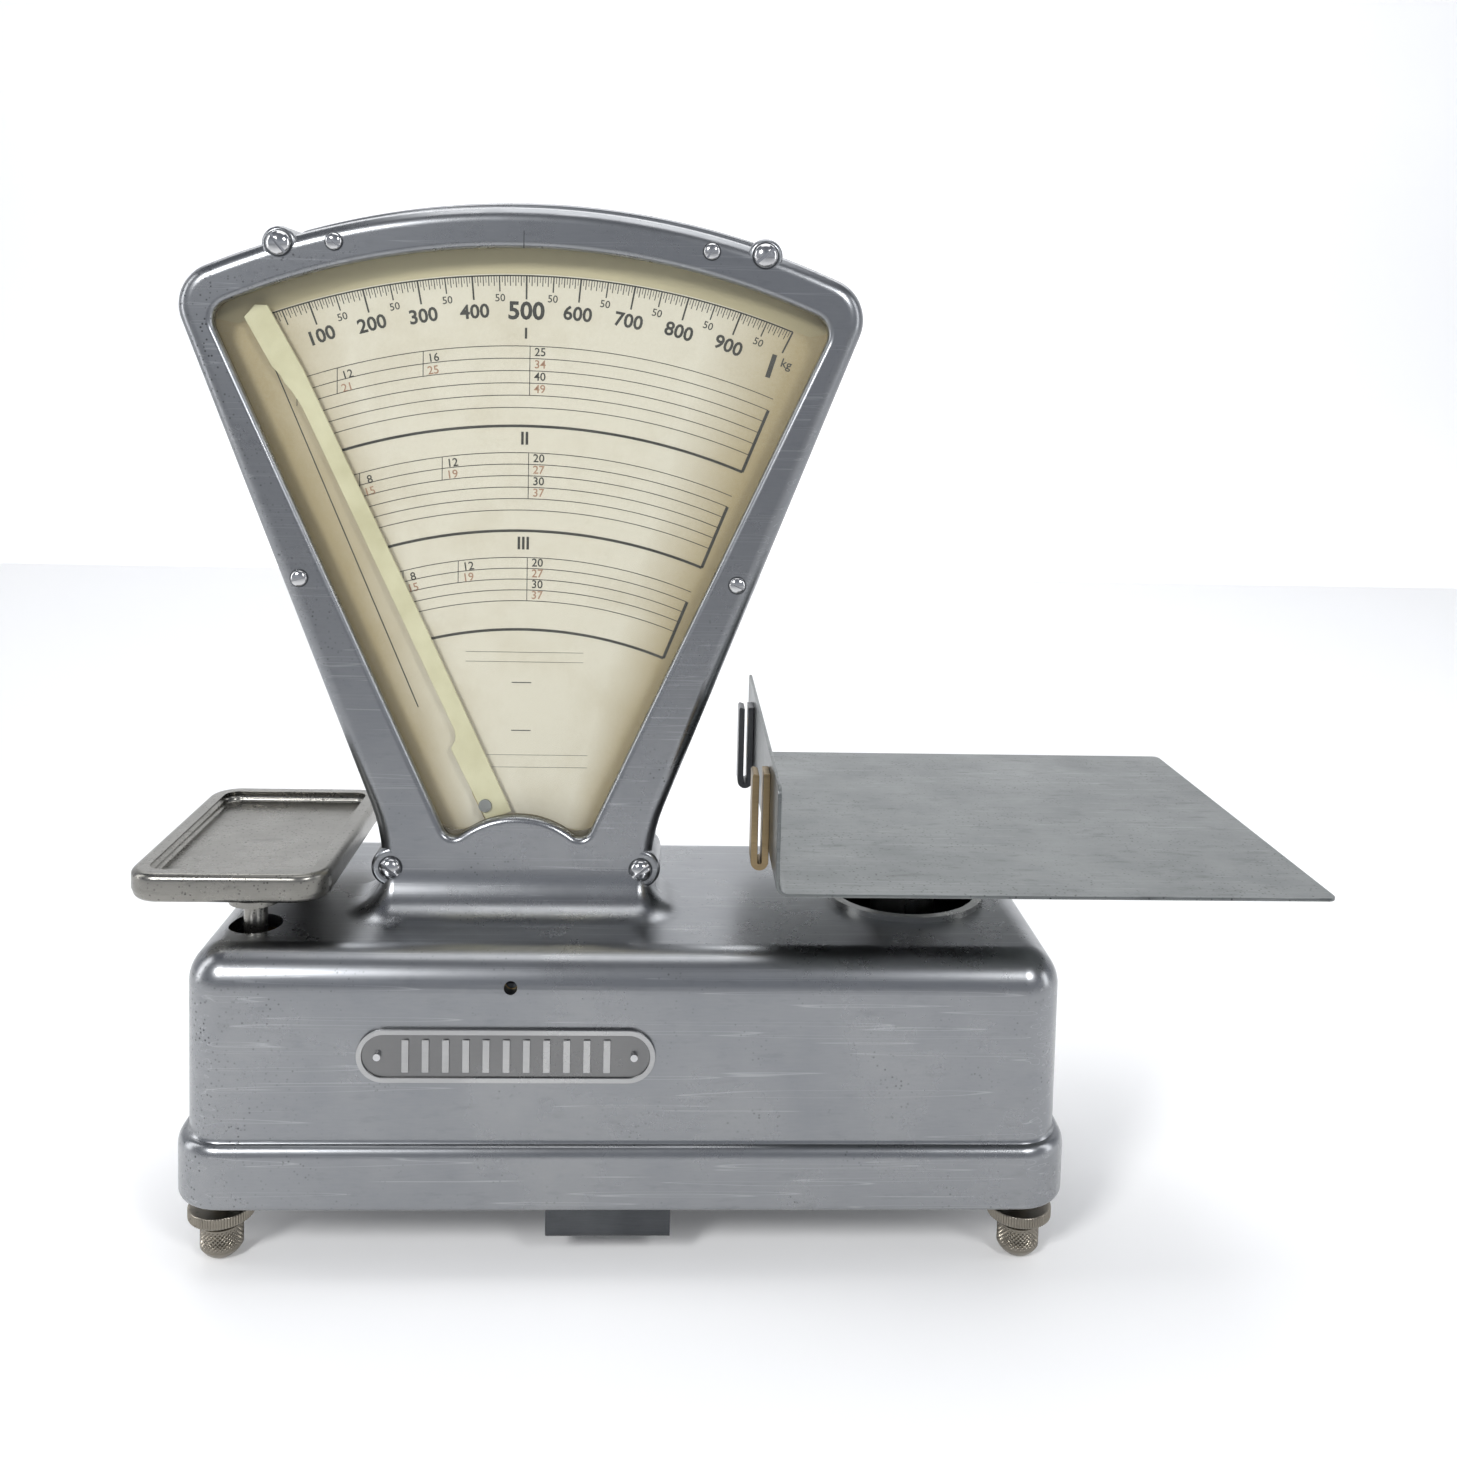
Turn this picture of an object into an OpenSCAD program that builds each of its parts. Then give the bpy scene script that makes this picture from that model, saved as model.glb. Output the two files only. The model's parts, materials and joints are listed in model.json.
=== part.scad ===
// Letter scale, 1 kg: an equal-armed beam in a cast base carries a weight pan on the left and a
// letter tray on the right, and a pendulum on the pointer's arbor weighs the load. The origin is
// under the middle of the whole scale, at the feet, with +X to the right and +Y to the rear.

/* [Base casting] */
// Width of the base body above its skirt
base_w = 293; // [285:1:300]
// Depth of the base body above its skirt
base_d = 122; // [118:1:130]
// Height of the base's lower edge above the table
base_bottom = 24.5; // [22:0.5:28]
// Height of the base's flat top above the table
base_top = 109.5; // [106:0.5:114]
// Place of the base's middle, left of the origin
base_x = -28.5; // [-30:0.5:-27]
// Thickness of the casting's walls
wall = 4.5; // [3.5:0.5:5]
// How far the skirt stands out all round
skirt_out = 3.6; // [2:0.2:4]
// Height of the skirt
skirt_h = 22.5; // [18:0.5:26]

/* [Head] */
// Place of the head's centre line, left of the origin
head_x = -70; // [-72:0.5:-68]
// Front face of the head
head_front = -21; // [-24:1:-20]
// Joint between the head's front shell and its rear cover
head_split = 4; // [3:1:6]
// Rear face of the head's rear cover
head_rear = 29; // [26:1:32]
// Radius of the head's top arc
head_r = 277; // [272:1:279]
// Height of the top arc's centre
head_arc_z = 81; // [78:1:82]
// Half width of the head's neck
neck_half = 48; // [47:0.5:49]
// Widening of each side of the head per millimetre of height
side_slope = 0.3875; // [0.37:0.005:0.4]

/* [Balance] */
// Length of each arm of the beam
arm = 114.75; // [112:0.25:116]
// Height of the beam's knife edges
beam_z = 84; // [82:0.5:86]
// Height of the check link's middle pivot
link_z = 48; // [46:0.5:50]
// Whole turn of the beam from no load to full load
beam_turn = 4; // [3:0.5:4]
// Height of the pointer's arbor
arbor_z = 120; // [119:0.5:121]
// Whole turn of the pointer from no load to full load
pointer_turn = 52; // [50:1:52]

/* [Tray and pan] */
// Left edge of the letter tray, where its fence stands
tray_x0 = 17.5; // [16:0.5:20]
// Width of the letter tray
tray_w = 179.5; // [170:0.5:179.5]
// Depth of the letter tray
tray_d = 167; // [150:1:170]
// Height of the letter tray's upper face
tray_z = 140; // [138:1:144]
// Height of the fence above the tray
fence_h = 34; // [28:1:38]
// Width of the weight pan
pan_w = 67; // [60:1:67]
// Depth of the weight pan
pan_d = 100; // [90:1:104]
// Height of the weight pan's rim
pan_z = 132; // [131:0.5:134]

/* [Hidden] */

corner_r = 14;               // vertical corners of the base
edge_r = 10;                 // rounding of the base's top edge
front_y = -base_d / 2;       // front face of the base
plate_t = 3;                 // base plate
plate_top = base_bottom + 4; // upper face of the base plate
fulcrum_x = head_x + 27.4;
pan_x = fulcrum_x - arm;     // pan stems
post_x = fulcrum_x + arm;    // tray post
post_r = 12;
ring_r = 28;                 // opening for the tray post
stem_y = 34;
stem_r = 4;
stem_hole_r = 9;
neck_top = 136;              // height at which the head's sides begin to slant
head_wall = 2.6;
face_t = 3;                  // front and rear faces of the head
lug_r = 6;                   // lugs round the upper large screws
glass_t = 1.95;
seat = 0.05;                 // gap between the pieces that are stacked behind the window
chart_depth = 11;            // chart plate's front face, behind the head's front face
upper_screw = [83.5, 343];   // large screws, from the head's centre line and the table
lower_screw = [44.2, 124.8];
small_screw_top = [64.8, 344];
small_screw_mid = [76.3, 227.6];
large_hole_r = 2.1;          // holes of the large, the small and the base plate's screws
small_hole_r = 1.6;
foot_x = [-165, 108];
foot_y = 47;
stud_r = 3;
knob_r = 7.2;
foot_boss_r = 7.5;
thread_gap = 0.05;           // between a stud and its hole
plate_screw_x = [-100, 45];
plate_screw_y = 51;
badge_x = head_x + 2;
badge_z = 76.5;
badge_l = 80;                // between the middles of the badge's round ends
badge_r = 9;
badge_t = 1.5;
badge_pin_x = 42;
adjust_x = head_x + 3;       // adjusting screw behind the front wall
adjust_z = 99;
clip_y = 47;                 // middles of the hairpin clips
clip_w = 10;
clip_leg = 30;               // straight length of a clip's legs
clip_r = 3;                  // outer bend of a clip
clip_gap = 2.6;              // between the legs of a hairpin clip
cheek_y = 35.5;              // middle of each cheek of the fulcrum bracket
cheek_t = 6;
bar_y = 24;                  // inner face of each beam bar
bar_t = 4;
cross_bar_x = [-90, 45];     // cross bars of the beam, from the fulcrum
link_t = 3;                  // bars of the check link
pin_r = 2.5;
pin_end = 40.5;              // outer end of the pins that reach past the bars
play = 0.2;                  // radial clearance of the open pivots
rest_tilt = -beam_turn / 2;  // the beam stands right end up with no load
pinion_r = 5;
rack_y = 6;
rack_w = 6;
tooth_m = 0.5;               // gear module
rack_pin_x = -65.1;          // rack's pin on the beam, from the fulcrum
piston_x = 72;               // dashpot's pin on the beam, from the fulcrum
tare_w = 30;                 // tare weight, which holds the empty tray up at its stop
tare_h = 60.2;
tare_top = 93.5;
pendulum_l = 55;
pendulum_r = 19;
arbor_r = 2.5;
rivet_at = 28;               // rivet of the pointer, from the arbor
pillars = [[-30, -6], [26, -6], [-14.3, 0]]; // from the arbor
movement_y = [0, 16];        // front faces of the two movement plates
movement_t = 2;
pot_r = 16;                  // dashpot
pot_h = 32;
piston_z = 46;
nut_r = 11;
nut_z = 14;
zero_angle = pointer_turn / 2 - 0.4; // pointer's tilt to the left at no load

// ---- shapes that are used more than once ----

// Round post with rounded upper and lower edges, the building block of the rounded boxes
module rounded_post(r, h, r_top, r_low) {
    rotate_extrude($fn = 48) polygon(concat(
        [[0, 0]],
        [for (i = [0:6]) [r - r_low + r_low * sin(15 * i), r_low - r_low * cos(15 * i)]],
        [for (i = [0:6]) [r - r_top + r_top * cos(15 * i), h - r_top + r_top * sin(15 * i)]],
        [[0, h]]));
}

// Box with rounded vertical corners and rounded edges, its underside at the level z0
module rounded_box(w, d, z0, z1, r, r_top, r_low) {
    hull() for (x = [-1, 1], y = [-1, 1])
        translate([x * (w / 2 - r), y * (d / 2 - r), z0]) rounded_post(r, z1 - z0, r_top, r_low);
}

// Flat rectangle with round corners
module plate_2d(w, d, r) {
    hull() for (x = [-1, 1], y = [-1, 1])
        translate([x * (w / 2 - r), y * (d / 2 - r)]) circle(r = r, $fn = 32);
}

// Pin along Y between two depths
module pin_y(x, z, r, y0, y1) {
    translate([x, y1, z]) rotate([90, 0, 0]) cylinder(r = r, h = y1 - y0, $fn = 48);
}

// Slotted round-head screw with its head towards -Y; the head's underside is at the origin
module slotted_screw(head_r, head_h, shank_r, shank_l, slot_angle) {
    difference() {
        union() {
            rotate([90, 0, 0]) cylinder(r = head_r, h = head_h * 0.45, $fn = 48);
            translate([0, -head_h * 0.45, 0]) rotate([90, 0, 0])
                cylinder(r1 = head_r, r2 = head_r * 0.72, h = head_h * 0.4, $fn = 48);
            translate([0, shank_l, 0]) rotate([90, 0, 0]) cylinder(r = shank_r, h = shank_l + 0.5, $fn = 32);
        }
        translate([0, -head_h * 0.75, 0]) rotate([0, slot_angle, 0])
            cube([head_r * 3, head_h * 0.8, head_r * 0.3], center = true);
    }
}

// Head outline seen from the front, drawn in by inset; x is from the centre line
module head_2d(inset) {
    side = inset / cos(atan(side_slope));
    round_r = 15 - inset * 0.6;
    rise = 264;
    offset(r = round_r) offset(delta = -round_r) intersection() {
        translate([0, head_arc_z]) circle(r = head_r - inset, $fn = 240);
        polygon([
            [-neck_half + side, base_top - 40], [neck_half - side, base_top - 40],
            [neck_half - side, neck_top], [neck_half - side + side_slope * rise, neck_top + rise],
            [-neck_half + side - side_slope * rise, neck_top + rise], [-neck_half + side, neck_top]]);
    }
}

// Outline with the lugs round the large screws and the flare into the base's top
module head_lugs_2d() {
    head_2d(0);
    for (s = [-1, 1]) {
        translate([s * upper_screw[0], upper_screw[1]]) circle(r = lug_r, $fn = 48);
        translate([s * lower_screw[0], lower_screw[1]]) circle(r = lug_r + 1, $fn = 48);
    }
}

module flare_2d() {
    flare_r = 13;
    for (s = [-1, 1]) difference() {
        translate([s * (neck_half + flare_r / 2 - 1), base_top + flare_r / 2 - 1])
            square([flare_r + 2, flare_r + 2], center = true);
        translate([s * (neck_half + flare_r), base_top + flare_r]) circle(r = flare_r, $fn = 64);
    }
}

// Half plane above a level, as wide and as high as the head
module above(level) {
    translate([-200, level]) square([400, 400]);
}

// Flat piece of the head between two depths, from a shape seen from the front
module head_plate(y0, y1) {
    translate([head_x, y1, 0]) rotate([90, 0, 0]) linear_extrude(y1 - y0) children();
}

// Space inside the head between two depths
module head_hollow(y0, y1) {
    head_plate(y0, y1) intersection() {
        head_2d(head_wall);
        above(base_top);
    }
}

// Sight opening of the head, grown by grow
module window_2d(grow) {
    offset(r = grow) offset(r = 7) offset(delta = -7) difference() {
        intersection() {
            translate([0, 85.4]) circle(r = 258.3, $fn = 240);
            polygon([[-26, 137.5], [26, 137.5], [30.6, 145], [119.6, 345], [-119.6, 345], [-30.6, 145]]);
        }
        translate([0, 111.5]) circle(r = 32, $fn = 96);
    }
}

// ---- casing ----

module body_casting() color("silver") difference() {
    union() {
        difference() {
            union() {
                translate([base_x, 0, 0])
                    rounded_box(base_w, base_d, base_bottom, base_top, corner_r, edge_r, 1);
                translate([base_x, 0, 0]) rounded_box(base_w + 2 * skirt_out,
                    base_d + 2 * skirt_out, base_bottom, base_bottom + skirt_h, corner_r + 3, 6, 3);
            }
            translate([base_x, 0, base_bottom - 1]) linear_extrude(base_top - wall - base_bottom + 1)
                plate_2d(base_w - 2 * wall, base_d - 2 * wall, 10);
        }
        // bosses for the feet, and pads for the base plate's screws
        for (x = foot_x, y = [-foot_y, foot_y])
            translate([x, y, plate_top]) cylinder(r = foot_boss_r, h = 28, $fn = 48);
        for (x = plate_screw_x, y = [-plate_screw_y, plate_screw_y])
            translate([x, y, plate_top]) cylinder(r = 7, h = 18, $fn = 48);
        head_plate(head_front, head_split) {
            intersection() {
                head_lugs_2d();
                above(base_top - 1);
            }
            flare_2d();
        }
    }
    // hollow of the head, the window and the way down into the base
    head_hollow(head_front + face_t, head_split + 1);
    head_plate(head_front - 1, head_front + face_t + 1) window_2d(0);
    translate([head_x - 20, head_front + face_t, base_top - wall - 1])
        cube([36, head_split + 16 - head_front - face_t, wall + 4]);
    // openings for the pan stems and the tray post, and the adjusting hole in the front
    for (y = [-stem_y, stem_y])
        translate([pan_x, y, base_top - 10]) cylinder(r = stem_hole_r, h = 20, $fn = 64);
    translate([post_x, 0, base_top - 10]) cylinder(r = ring_r, h = 20, $fn = 96);
    pin_y(adjust_x, adjust_z, 2.2, front_y - 5, front_y + 10);
    // foot threads and screw holes
    for (x = foot_x, y = [-foot_y, foot_y])
        translate([x, y, plate_top - 1]) cylinder(r = stud_r + thread_gap, h = 26, $fn = 48);
    for (x = plate_screw_x, y = [-plate_screw_y, plate_screw_y])
        translate([x, y, plate_top - 1]) cylinder(r = large_hole_r, h = 16, $fn = 32);
    for (s = [-1, 1], p = [upper_screw, lower_screw])
        pin_y(head_x + s * p[0], p[1], large_hole_r, head_front - 1, head_split + 1);
    for (s = [-1, 1], p = [small_screw_top, small_screw_mid])
        pin_y(head_x + s * p[0], p[1], small_hole_r, head_front - 1, head_front + face_t + 1);
}

// Closed rear half of the head, with a raised bead along its top arc between the upper lugs
module head_rear_cover() color("silver") difference() {
    union() {
        difference() {
            head_plate(head_split + 0.1, head_rear) intersection() {
                union() {
                    head_2d(0);
                    difference() {
                        translate([0, head_arc_z]) circle(r = head_r + 4, $fn = 240);
                        translate([0, head_arc_z]) circle(r = head_r - 2, $fn = 240);
                        translate([upper_screw[0], 0]) square([200, 400]);
                        translate([-upper_screw[0] - 200, 0]) square([200, 400]);
                        translate([-200, 0]) square([400, 300]);
                    }
                }
                above(base_top + 0.1);
            }
            head_hollow(head_split - 1, head_rear - face_t);
        }
        for (s = [-1, 1]) {
            pin_y(head_x + s * upper_screw[0], upper_screw[1], lug_r, head_split + 0.1, head_rear);
            pin_y(head_x + s * lower_screw[0], lower_screw[1], 5, head_split + 0.1, head_rear);
        }
    }
    for (s = [-1, 1], p = [upper_screw, lower_screw])
        pin_y(head_x + s * p[0], p[1], 2.05, head_split - 1, head_rear - 6);
}

module window_glass() color([0.8, 0.9, 0.9, 0.4])
    head_plate(head_front + face_t + seat, head_front + face_t + seat + glass_t) window_2d(3);

module glass_retainer() color("dimgray")
    head_plate(head_front + 5.1, head_front + 6.3) difference() {
        window_2d(3);
        window_2d(0.5);
    }

// The chart hangs on four lugs that take the small screws from the front
module chart_plate() color("ivory") difference() {
    union() {
        head_plate(head_front + chart_depth, head_front + chart_depth + 1) difference() {
            head_2d(5);
            translate([-100, 0]) square([200, neck_top - 2]);
        }
        for (s = [-1, 1], p = [small_screw_top, small_screw_mid])
            pin_y(head_x + s * p[0], p[1], 2.2, head_front + 6.4, head_front + chart_depth + 0.5);
    }
    for (s = [-1, 1], p = [small_screw_top, small_screw_mid])
        pin_y(head_x + s * p[0], p[1], 1.5, head_front + 5, head_front + 13);
}

module case_screws() color("lightgray")
    for (s = [-1, 1]) {
        translate([head_x + s * upper_screw[0], head_front, upper_screw[1]])
            slotted_screw(4.3, 3, 2, 36, 35);
        translate([head_x + s * lower_screw[0], head_front, lower_screw[1]])
            slotted_screw(3.9, 3, 2, 36, 40);
    }

module retainer_screws() color("lightgray")
    for (s = [-1, 1]) {
        translate([head_x + s * small_screw_top[0], head_front, small_screw_top[1]])
            slotted_screw(2.9, 1.8, 1.45, 11.9, 50);
        translate([head_x + s * small_screw_mid[0], head_front, small_screw_mid[1]])
            slotted_screw(2.9, 1.8, 1.45, 11.9, 20);
    }

// Plain plate with round ends on the front of the base
module badge() color("silver") difference() {
    translate([badge_x, front_y, badge_z]) rotate([90, 0, 0]) linear_extrude(badge_t) {
        translate([-badge_l / 2, -badge_r]) square([badge_l, 2 * badge_r]);
        for (s = [-1, 1]) translate([s * badge_l / 2, 0]) circle(r = badge_r, $fn = 64);
    }
    for (s = [-1, 1]) pin_y(badge_x + s * badge_pin_x, badge_z, 1.25, front_y - 3, front_y + 3);
}

module badge_pins() color("gray")
    for (s = [-1, 1]) pin_y(badge_x + s * badge_pin_x, badge_z, 1.2, front_y - 2.2, front_y);

// Turned rim round the tray post's opening
module post_ring() color("silver") translate([post_x, 0, base_top - 3]) difference() {
    union() {
        cylinder(r = ring_r - 0.05, h = 5, $fn = 96);
        translate([0, 0, 3]) cylinder(r = ring_r + 1.6, h = 2, $fn = 96);
    }
    translate([0, 0, -1]) cylinder(r = ring_r - 1.5, h = 8, $fn = 96);
}

module base_plate() color("gray") difference() {
    translate([base_x, 0, plate_top - plate_t]) linear_extrude(plate_t)
        plate_2d(base_w - 2 * wall - 1, base_d - 2 * wall - 1, 9);
    for (x = foot_x, y = [-foot_y, foot_y])
        translate([x, y, plate_top - plate_t - 1]) cylinder(r = 5, h = plate_t + 2, $fn = 48);
    for (x = plate_screw_x, y = [-plate_screw_y, plate_screw_y])
        translate([x, y, plate_top - plate_t - 1]) cylinder(r = 2.2, h = plate_t + 2, $fn = 32);
}

module base_plate_screws() color("gray")
    for (x = plate_screw_x, y = [-plate_screw_y, plate_screw_y])
        translate([x, y, plate_top - plate_t]) rotate([90, 0, 0])
            slotted_screw(3.5, 2, 2, 14, 30);

// Two cheeks on a foot; the beam's knives rest above them and the check link turns in them
module fulcrum_bracket() color("darkgray") difference() {
    union() {
        translate([fulcrum_x - 14, -39, plate_top]) cube([28, 78, 3]);
        for (s = [-1, 1]) translate([fulcrum_x - 12, s * cheek_y - cheek_t / 2, plate_top])
            cube([24, cheek_t, beam_z - 5 - plate_top]);
    }
    for (s = [-1, 1])
        pin_y(fulcrum_x, link_z, pin_r + 0.05, s * cheek_y - 4, s * cheek_y + 4);
}

// Hardened blocks with a V groove under each knife edge
module fulcrum_bearings() color("dimgray")
    for (s = [-1, 1]) translate([fulcrum_x, s * cheek_y + cheek_t / 2, beam_z]) rotate([90, 0, 0])
        linear_extrude(cheek_t)
            polygon([[-8, -5], [8, -5], [8, 2], [4.4, 2], [0, -0.05], [-4.4, 2], [-8, 2]]);

module movement_plates() color("goldenrod") difference() {
    for (y = movement_y) translate([head_x - 34, y, base_top + 0.1]) cube([64, movement_t, 19]);
    for (y = movement_y) pin_y(head_x, arbor_z, arbor_r + 0.05, y - 1, y + 3);
    for (p = pillars, y = movement_y) pin_y(head_x + p[0], arbor_z + p[1], 1.5, y - 1, y + 3);
}

// Two spacers, and a third that keeps the rack against the pinion
module movement_pillars() color("gold")
    for (p = pillars) {
        pin_y(head_x + p[0], arbor_z + p[1], 3, movement_y[0] + movement_t, movement_y[1]);
        pin_y(head_x + p[0], arbor_z + p[1], 1.45, -0.5, 18.5);
    }

// Oil pot that damps the beam
module dashpot_cylinder() color("dimgray") translate([fulcrum_x + piston_x, 0, plate_top])
    difference() {
        cylinder(r = pot_r, h = pot_h, $fn = 64);
        translate([0, 0, 2.5]) cylinder(r = pot_r - 1.5, h = pot_h, $fn = 64);
    }

// Steel sheet folded into a U under the front of the base, the stop for its lock
module folded_stop() color([0.25, 0.26, 0.28]) difference() {
    translate([-55, -56, 10]) cube([42, 12, plate_top - plate_t - 10]);
    translate([-56, -54.5, 11.5]) cube([44, 9, plate_top]);
}

module zero_screw_block() color("goldenrod") difference() {
    translate([adjust_x - 7, front_y + wall, adjust_z - 7]) cube([14, 8, base_top - wall - adjust_z + 7]);
    pin_y(adjust_x, adjust_z, 2.05, front_y + wall - 1, front_y + wall + 9);
}

module zero_screw() color("gold") difference() {
    union() {
        pin_y(adjust_x, adjust_z, 2, front_y + wall + 0.3, -30);
        pin_y(adjust_x, adjust_z, 4.5, -40, -37);
    }
    translate([adjust_x - 3, front_y + wall - 1, adjust_z - 0.4]) cube([6, 2.2, 0.8]);
}

// ---- balance beam: two bars with pins and knives through them ----

module at_rest_tilt() {
    translate([fulcrum_x, 0, beam_z]) rotate([0, rest_tilt, 0]) children();
}

module beam() color("gray") at_rest_tilt() difference() {
    for (s = [-1, 1]) translate([0, s > 0 ? bar_y + bar_t : -bar_y, 0]) rotate([90, 0, 0])
        linear_extrude(bar_t) polygon([[-arm - 7, -5], [-20, -9], [20, -9], [arm + 7, -5],
            [arm + 7, 5], [20, 9], [-20, 9], [-arm - 7, 5]]);
    for (x = concat([-arm, arm, piston_x], cross_bar_x)) pin_y(x, 0, pin_r, -40, 40);
    pin_y(rack_pin_x, 0, 2, bar_y - 1, 40);
    knife(-40, 40);
}

module knife(y0, y1) {
    translate([0, y1, 0]) rotate([90, 0, 0]) linear_extrude(y1 - y0)
        polygon([[0, 0], [2.2, 3.2], [2.2, 5.5], [-2.2, 5.5], [-2.2, 3.2]]);
}

module fulcrum_knives() color("dimgray") at_rest_tilt() {
    knife(bar_y, 41);
    knife(-41, -bar_y);
}

module beam_end_pins() color("silver") at_rest_tilt() {
    for (s = [-1, 1]) pin_y(-arm, 0, pin_r, s > 0 ? bar_y : -pin_end, s > 0 ? pin_end : -bar_y);
    pin_y(arm, 0, pin_r, -bar_y - bar_t - 1, bar_y + bar_t + 1);
    pin_y(piston_x, 0, pin_r, -bar_y - bar_t - 1, bar_y + bar_t + 1);
    pin_y(rack_pin_x, 0, 2, rack_y - 0.8, bar_y + bar_t + 1);
}

module beam_cross_bars() color("gray") at_rest_tilt()
    for (x = cross_bar_x) {
        pin_y(x, 0, 4, -bar_y, bar_y);
        pin_y(x, 0, pin_r, -bar_y - bar_t, bar_y + bar_t);
    }

module check_link() color("gray")
    translate([fulcrum_x, 0, link_z]) rotate([0, rest_tilt, 0]) difference() {
        for (s = [-1, 1]) translate([-arm - 6, s > 0 ? bar_y + 0.5 : -bar_y - 0.5 - link_t, -4])
            cube([2 * arm + 12, link_t, 8]);
        for (x = [-arm, 0, arm]) pin_y(x, 0, pin_r, -40, 40);
    }

module check_link_pins() color("silver")
    translate([fulcrum_x, 0, link_z]) rotate([0, rest_tilt, 0]) {
        for (s = [-1, 1], x = [-arm, 0])
            pin_y(x, 0, pin_r, s > 0 ? bar_y + 0.5 : -pin_end, s > 0 ? pin_end : -bar_y - 0.5);
        pin_y(arm, 0, pin_r, -bar_y - 4.5, bar_y + 4.5);
    }

// ---- weight pan and its carrier; the beam's left end stands low with no load ----

pan_drop = arm * sin(beam_turn / 2);

module pan_stems() color("silver") difference() {
    union() for (s = [-1, 1]) translate([pan_x, s * stem_y, 0]) {
        translate([0, 0, 38 - pan_drop]) cylinder(r = stem_r, h = pan_z - 12 - 38 + pan_drop, $fn = 48);
        for (z = [beam_z, link_z]) translate([-6, -5, z - pan_drop - 6]) cube([12, 10, 12]);
        translate([-6, -5, tare_top - 3.5]) cube([12, 10, 3.5]);
        translate([0, 0, pan_z - 14]) cylinder(r = 9, h = 2, $fn = 48);
    }
    for (s = [-1, 1], z = [beam_z, link_z])
        pin_y(pan_x, z - pan_drop, pin_r + play, s * stem_y - 6, s * stem_y + 6);
}

// Block that balances the tray, hung between the stems by its cross bar
module tare_weight() color("dimgray") {
    translate([-168, -22, tare_top - tare_h]) cube([tare_w, 44, tare_h]);
    translate([pan_x - 6, -29, tare_top - 3.5]) cube([12, 58, 3.5]);
}

module pan_yoke() color("gray") difference() {
    translate([pan_x - 6, -stem_y - 8, pan_z - 12]) cube([12, 2 * stem_y + 16, 2]);
    for (s = [-1, 1]) translate([pan_x, s * stem_y, pan_z - 13]) cylinder(r = 1.6, h = 4, $fn = 24);
}

// Shallow cast pan with a thick rounded rim
module weight_pan() color([0.68, 0.66, 0.6]) translate([-197 + pan_w / 2, 0, 0]) difference() {
    rounded_box(pan_w, pan_d, pan_z - 10, pan_z, 11, 3, 3);
    rounded_box(pan_w - 9, pan_d - 9, pan_z - 4, pan_z + 4, 7, 1, 1.5);
}

// ---- letter tray and its carrier; the beam's right end stands high with no load ----

module tray_post() color("silver") difference() {
    translate([post_x, 0, 36 + pan_drop]) cylinder(r = post_r, h = tray_z - 4.3 - 36 - pan_drop, $fn = 96);
    for (z = [beam_z, link_z]) pin_y(post_x, z + pan_drop, pin_r + play, -20, 20);
}

// Cross soldered under the tray, with a socket that fits over the post
module tray_support() color("gray") difference() {
    translate([0, 0, tray_z - 4.2]) {
        translate([post_x, 0, -8]) cylinder(r = 18, h = 11, $fn = 64);
        translate([tray_x0 + 14, -12, 0]) cube([tray_w - 40, 24, 3]);
        translate([post_x - 12, -60, 0]) cube([24, 120, 3]);
    }
    translate([post_x, 0, tray_z - 14]) cylinder(r = post_r + 0.05, h = 9.8, $fn = 96);
    for (s = [-1, 1]) pin_y(post_x, tray_z - 8, 2, s > 0 ? 10 : -20, s > 0 ? 20 : -10);
}

module tray_set_screws() color("gray") difference() {
    for (s = [-1, 1]) pin_y(post_x, tray_z - 8, 1.95, s > 0 ? post_r + 0.1 : -19, s > 0 ? 19 : -post_r - 0.1);
    translate([post_x - 3, -20, tray_z - 8.4]) cube([6, 2.4, 0.8]);
    translate([post_x - 3, 17.6, tray_z - 8.4]) cube([6, 2.4, 0.8]);
}

// Sheet tray with one edge bent up as a fence
module letter_tray() color([0.66, 0.69, 0.7]) {
    translate([tray_x0 + tray_w / 2 + 1.5, 0, tray_z - 1.2]) linear_extrude(1.2)
        plate_2d(tray_w - 3, tray_d, 3);
    translate([tray_x0, tray_d / 2, tray_z]) rotate([90, 0, 0]) linear_extrude(tray_d) {
        translate([0, 2.8]) square([1.2, fence_h - 2.8]);
        intersection() {
            translate([4, 2.8]) difference() {
                circle(r = 4, $fn = 48);
                circle(r = 2.8, $fn = 48);
            }
            translate([0, -1.2]) square([4, 4.2]);
        }
    }
}

// Hairpin clips on the fence's outer face, open at the top
module fence_hooks() color("darkgoldenrod")
    for (y = [-clip_y, clip_y])
        translate([tray_x0 - 0.05 - clip_r, y + clip_w / 2, tray_z - 4 + clip_r]) rotate([90, 0, 0])
            linear_extrude(clip_w) difference() {
                union() {
                    translate([-clip_r, 0]) square([2 * clip_r, clip_leg]);
                    circle(r = clip_r, $fn = 32);
                }
                translate([-clip_gap / 2, 0]) square([clip_gap, clip_leg + 1]);
                circle(r = clip_gap / 2, $fn = 32);
            }

module hook_rivets() color("goldenrod")
    for (y = [-clip_y, clip_y], z = [tray_z + 10, tray_z + 22])
        for (x = [tray_x0 - 2.4, tray_x0 + 1.2])
            translate([x, y, z]) rotate([0, 90, 0]) cylinder(r = 1.8, h = 0.55, $fn = 32);

// ---- pointer, arbor and pendulum, one rigid piece on the arbor's axis ----

module on_arbor() {
    translate([head_x, 0, arbor_z]) rotate([0, -zero_angle, 0]) children();
}

module arbor() color("silver") on_arbor() {
    pin_y(0, 0, arbor_r, -13, 20);
    pin_y(0, 0, 4.5, -8, -6);
}

// Involute teeth: a flank point at roll angle t on the base circle
function flank(base_radius, t) = [
    base_radius * (cos(t) + t * PI / 180 * sin(t)), base_radius * (sin(t) - t * PI / 180 * cos(t))];

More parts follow.
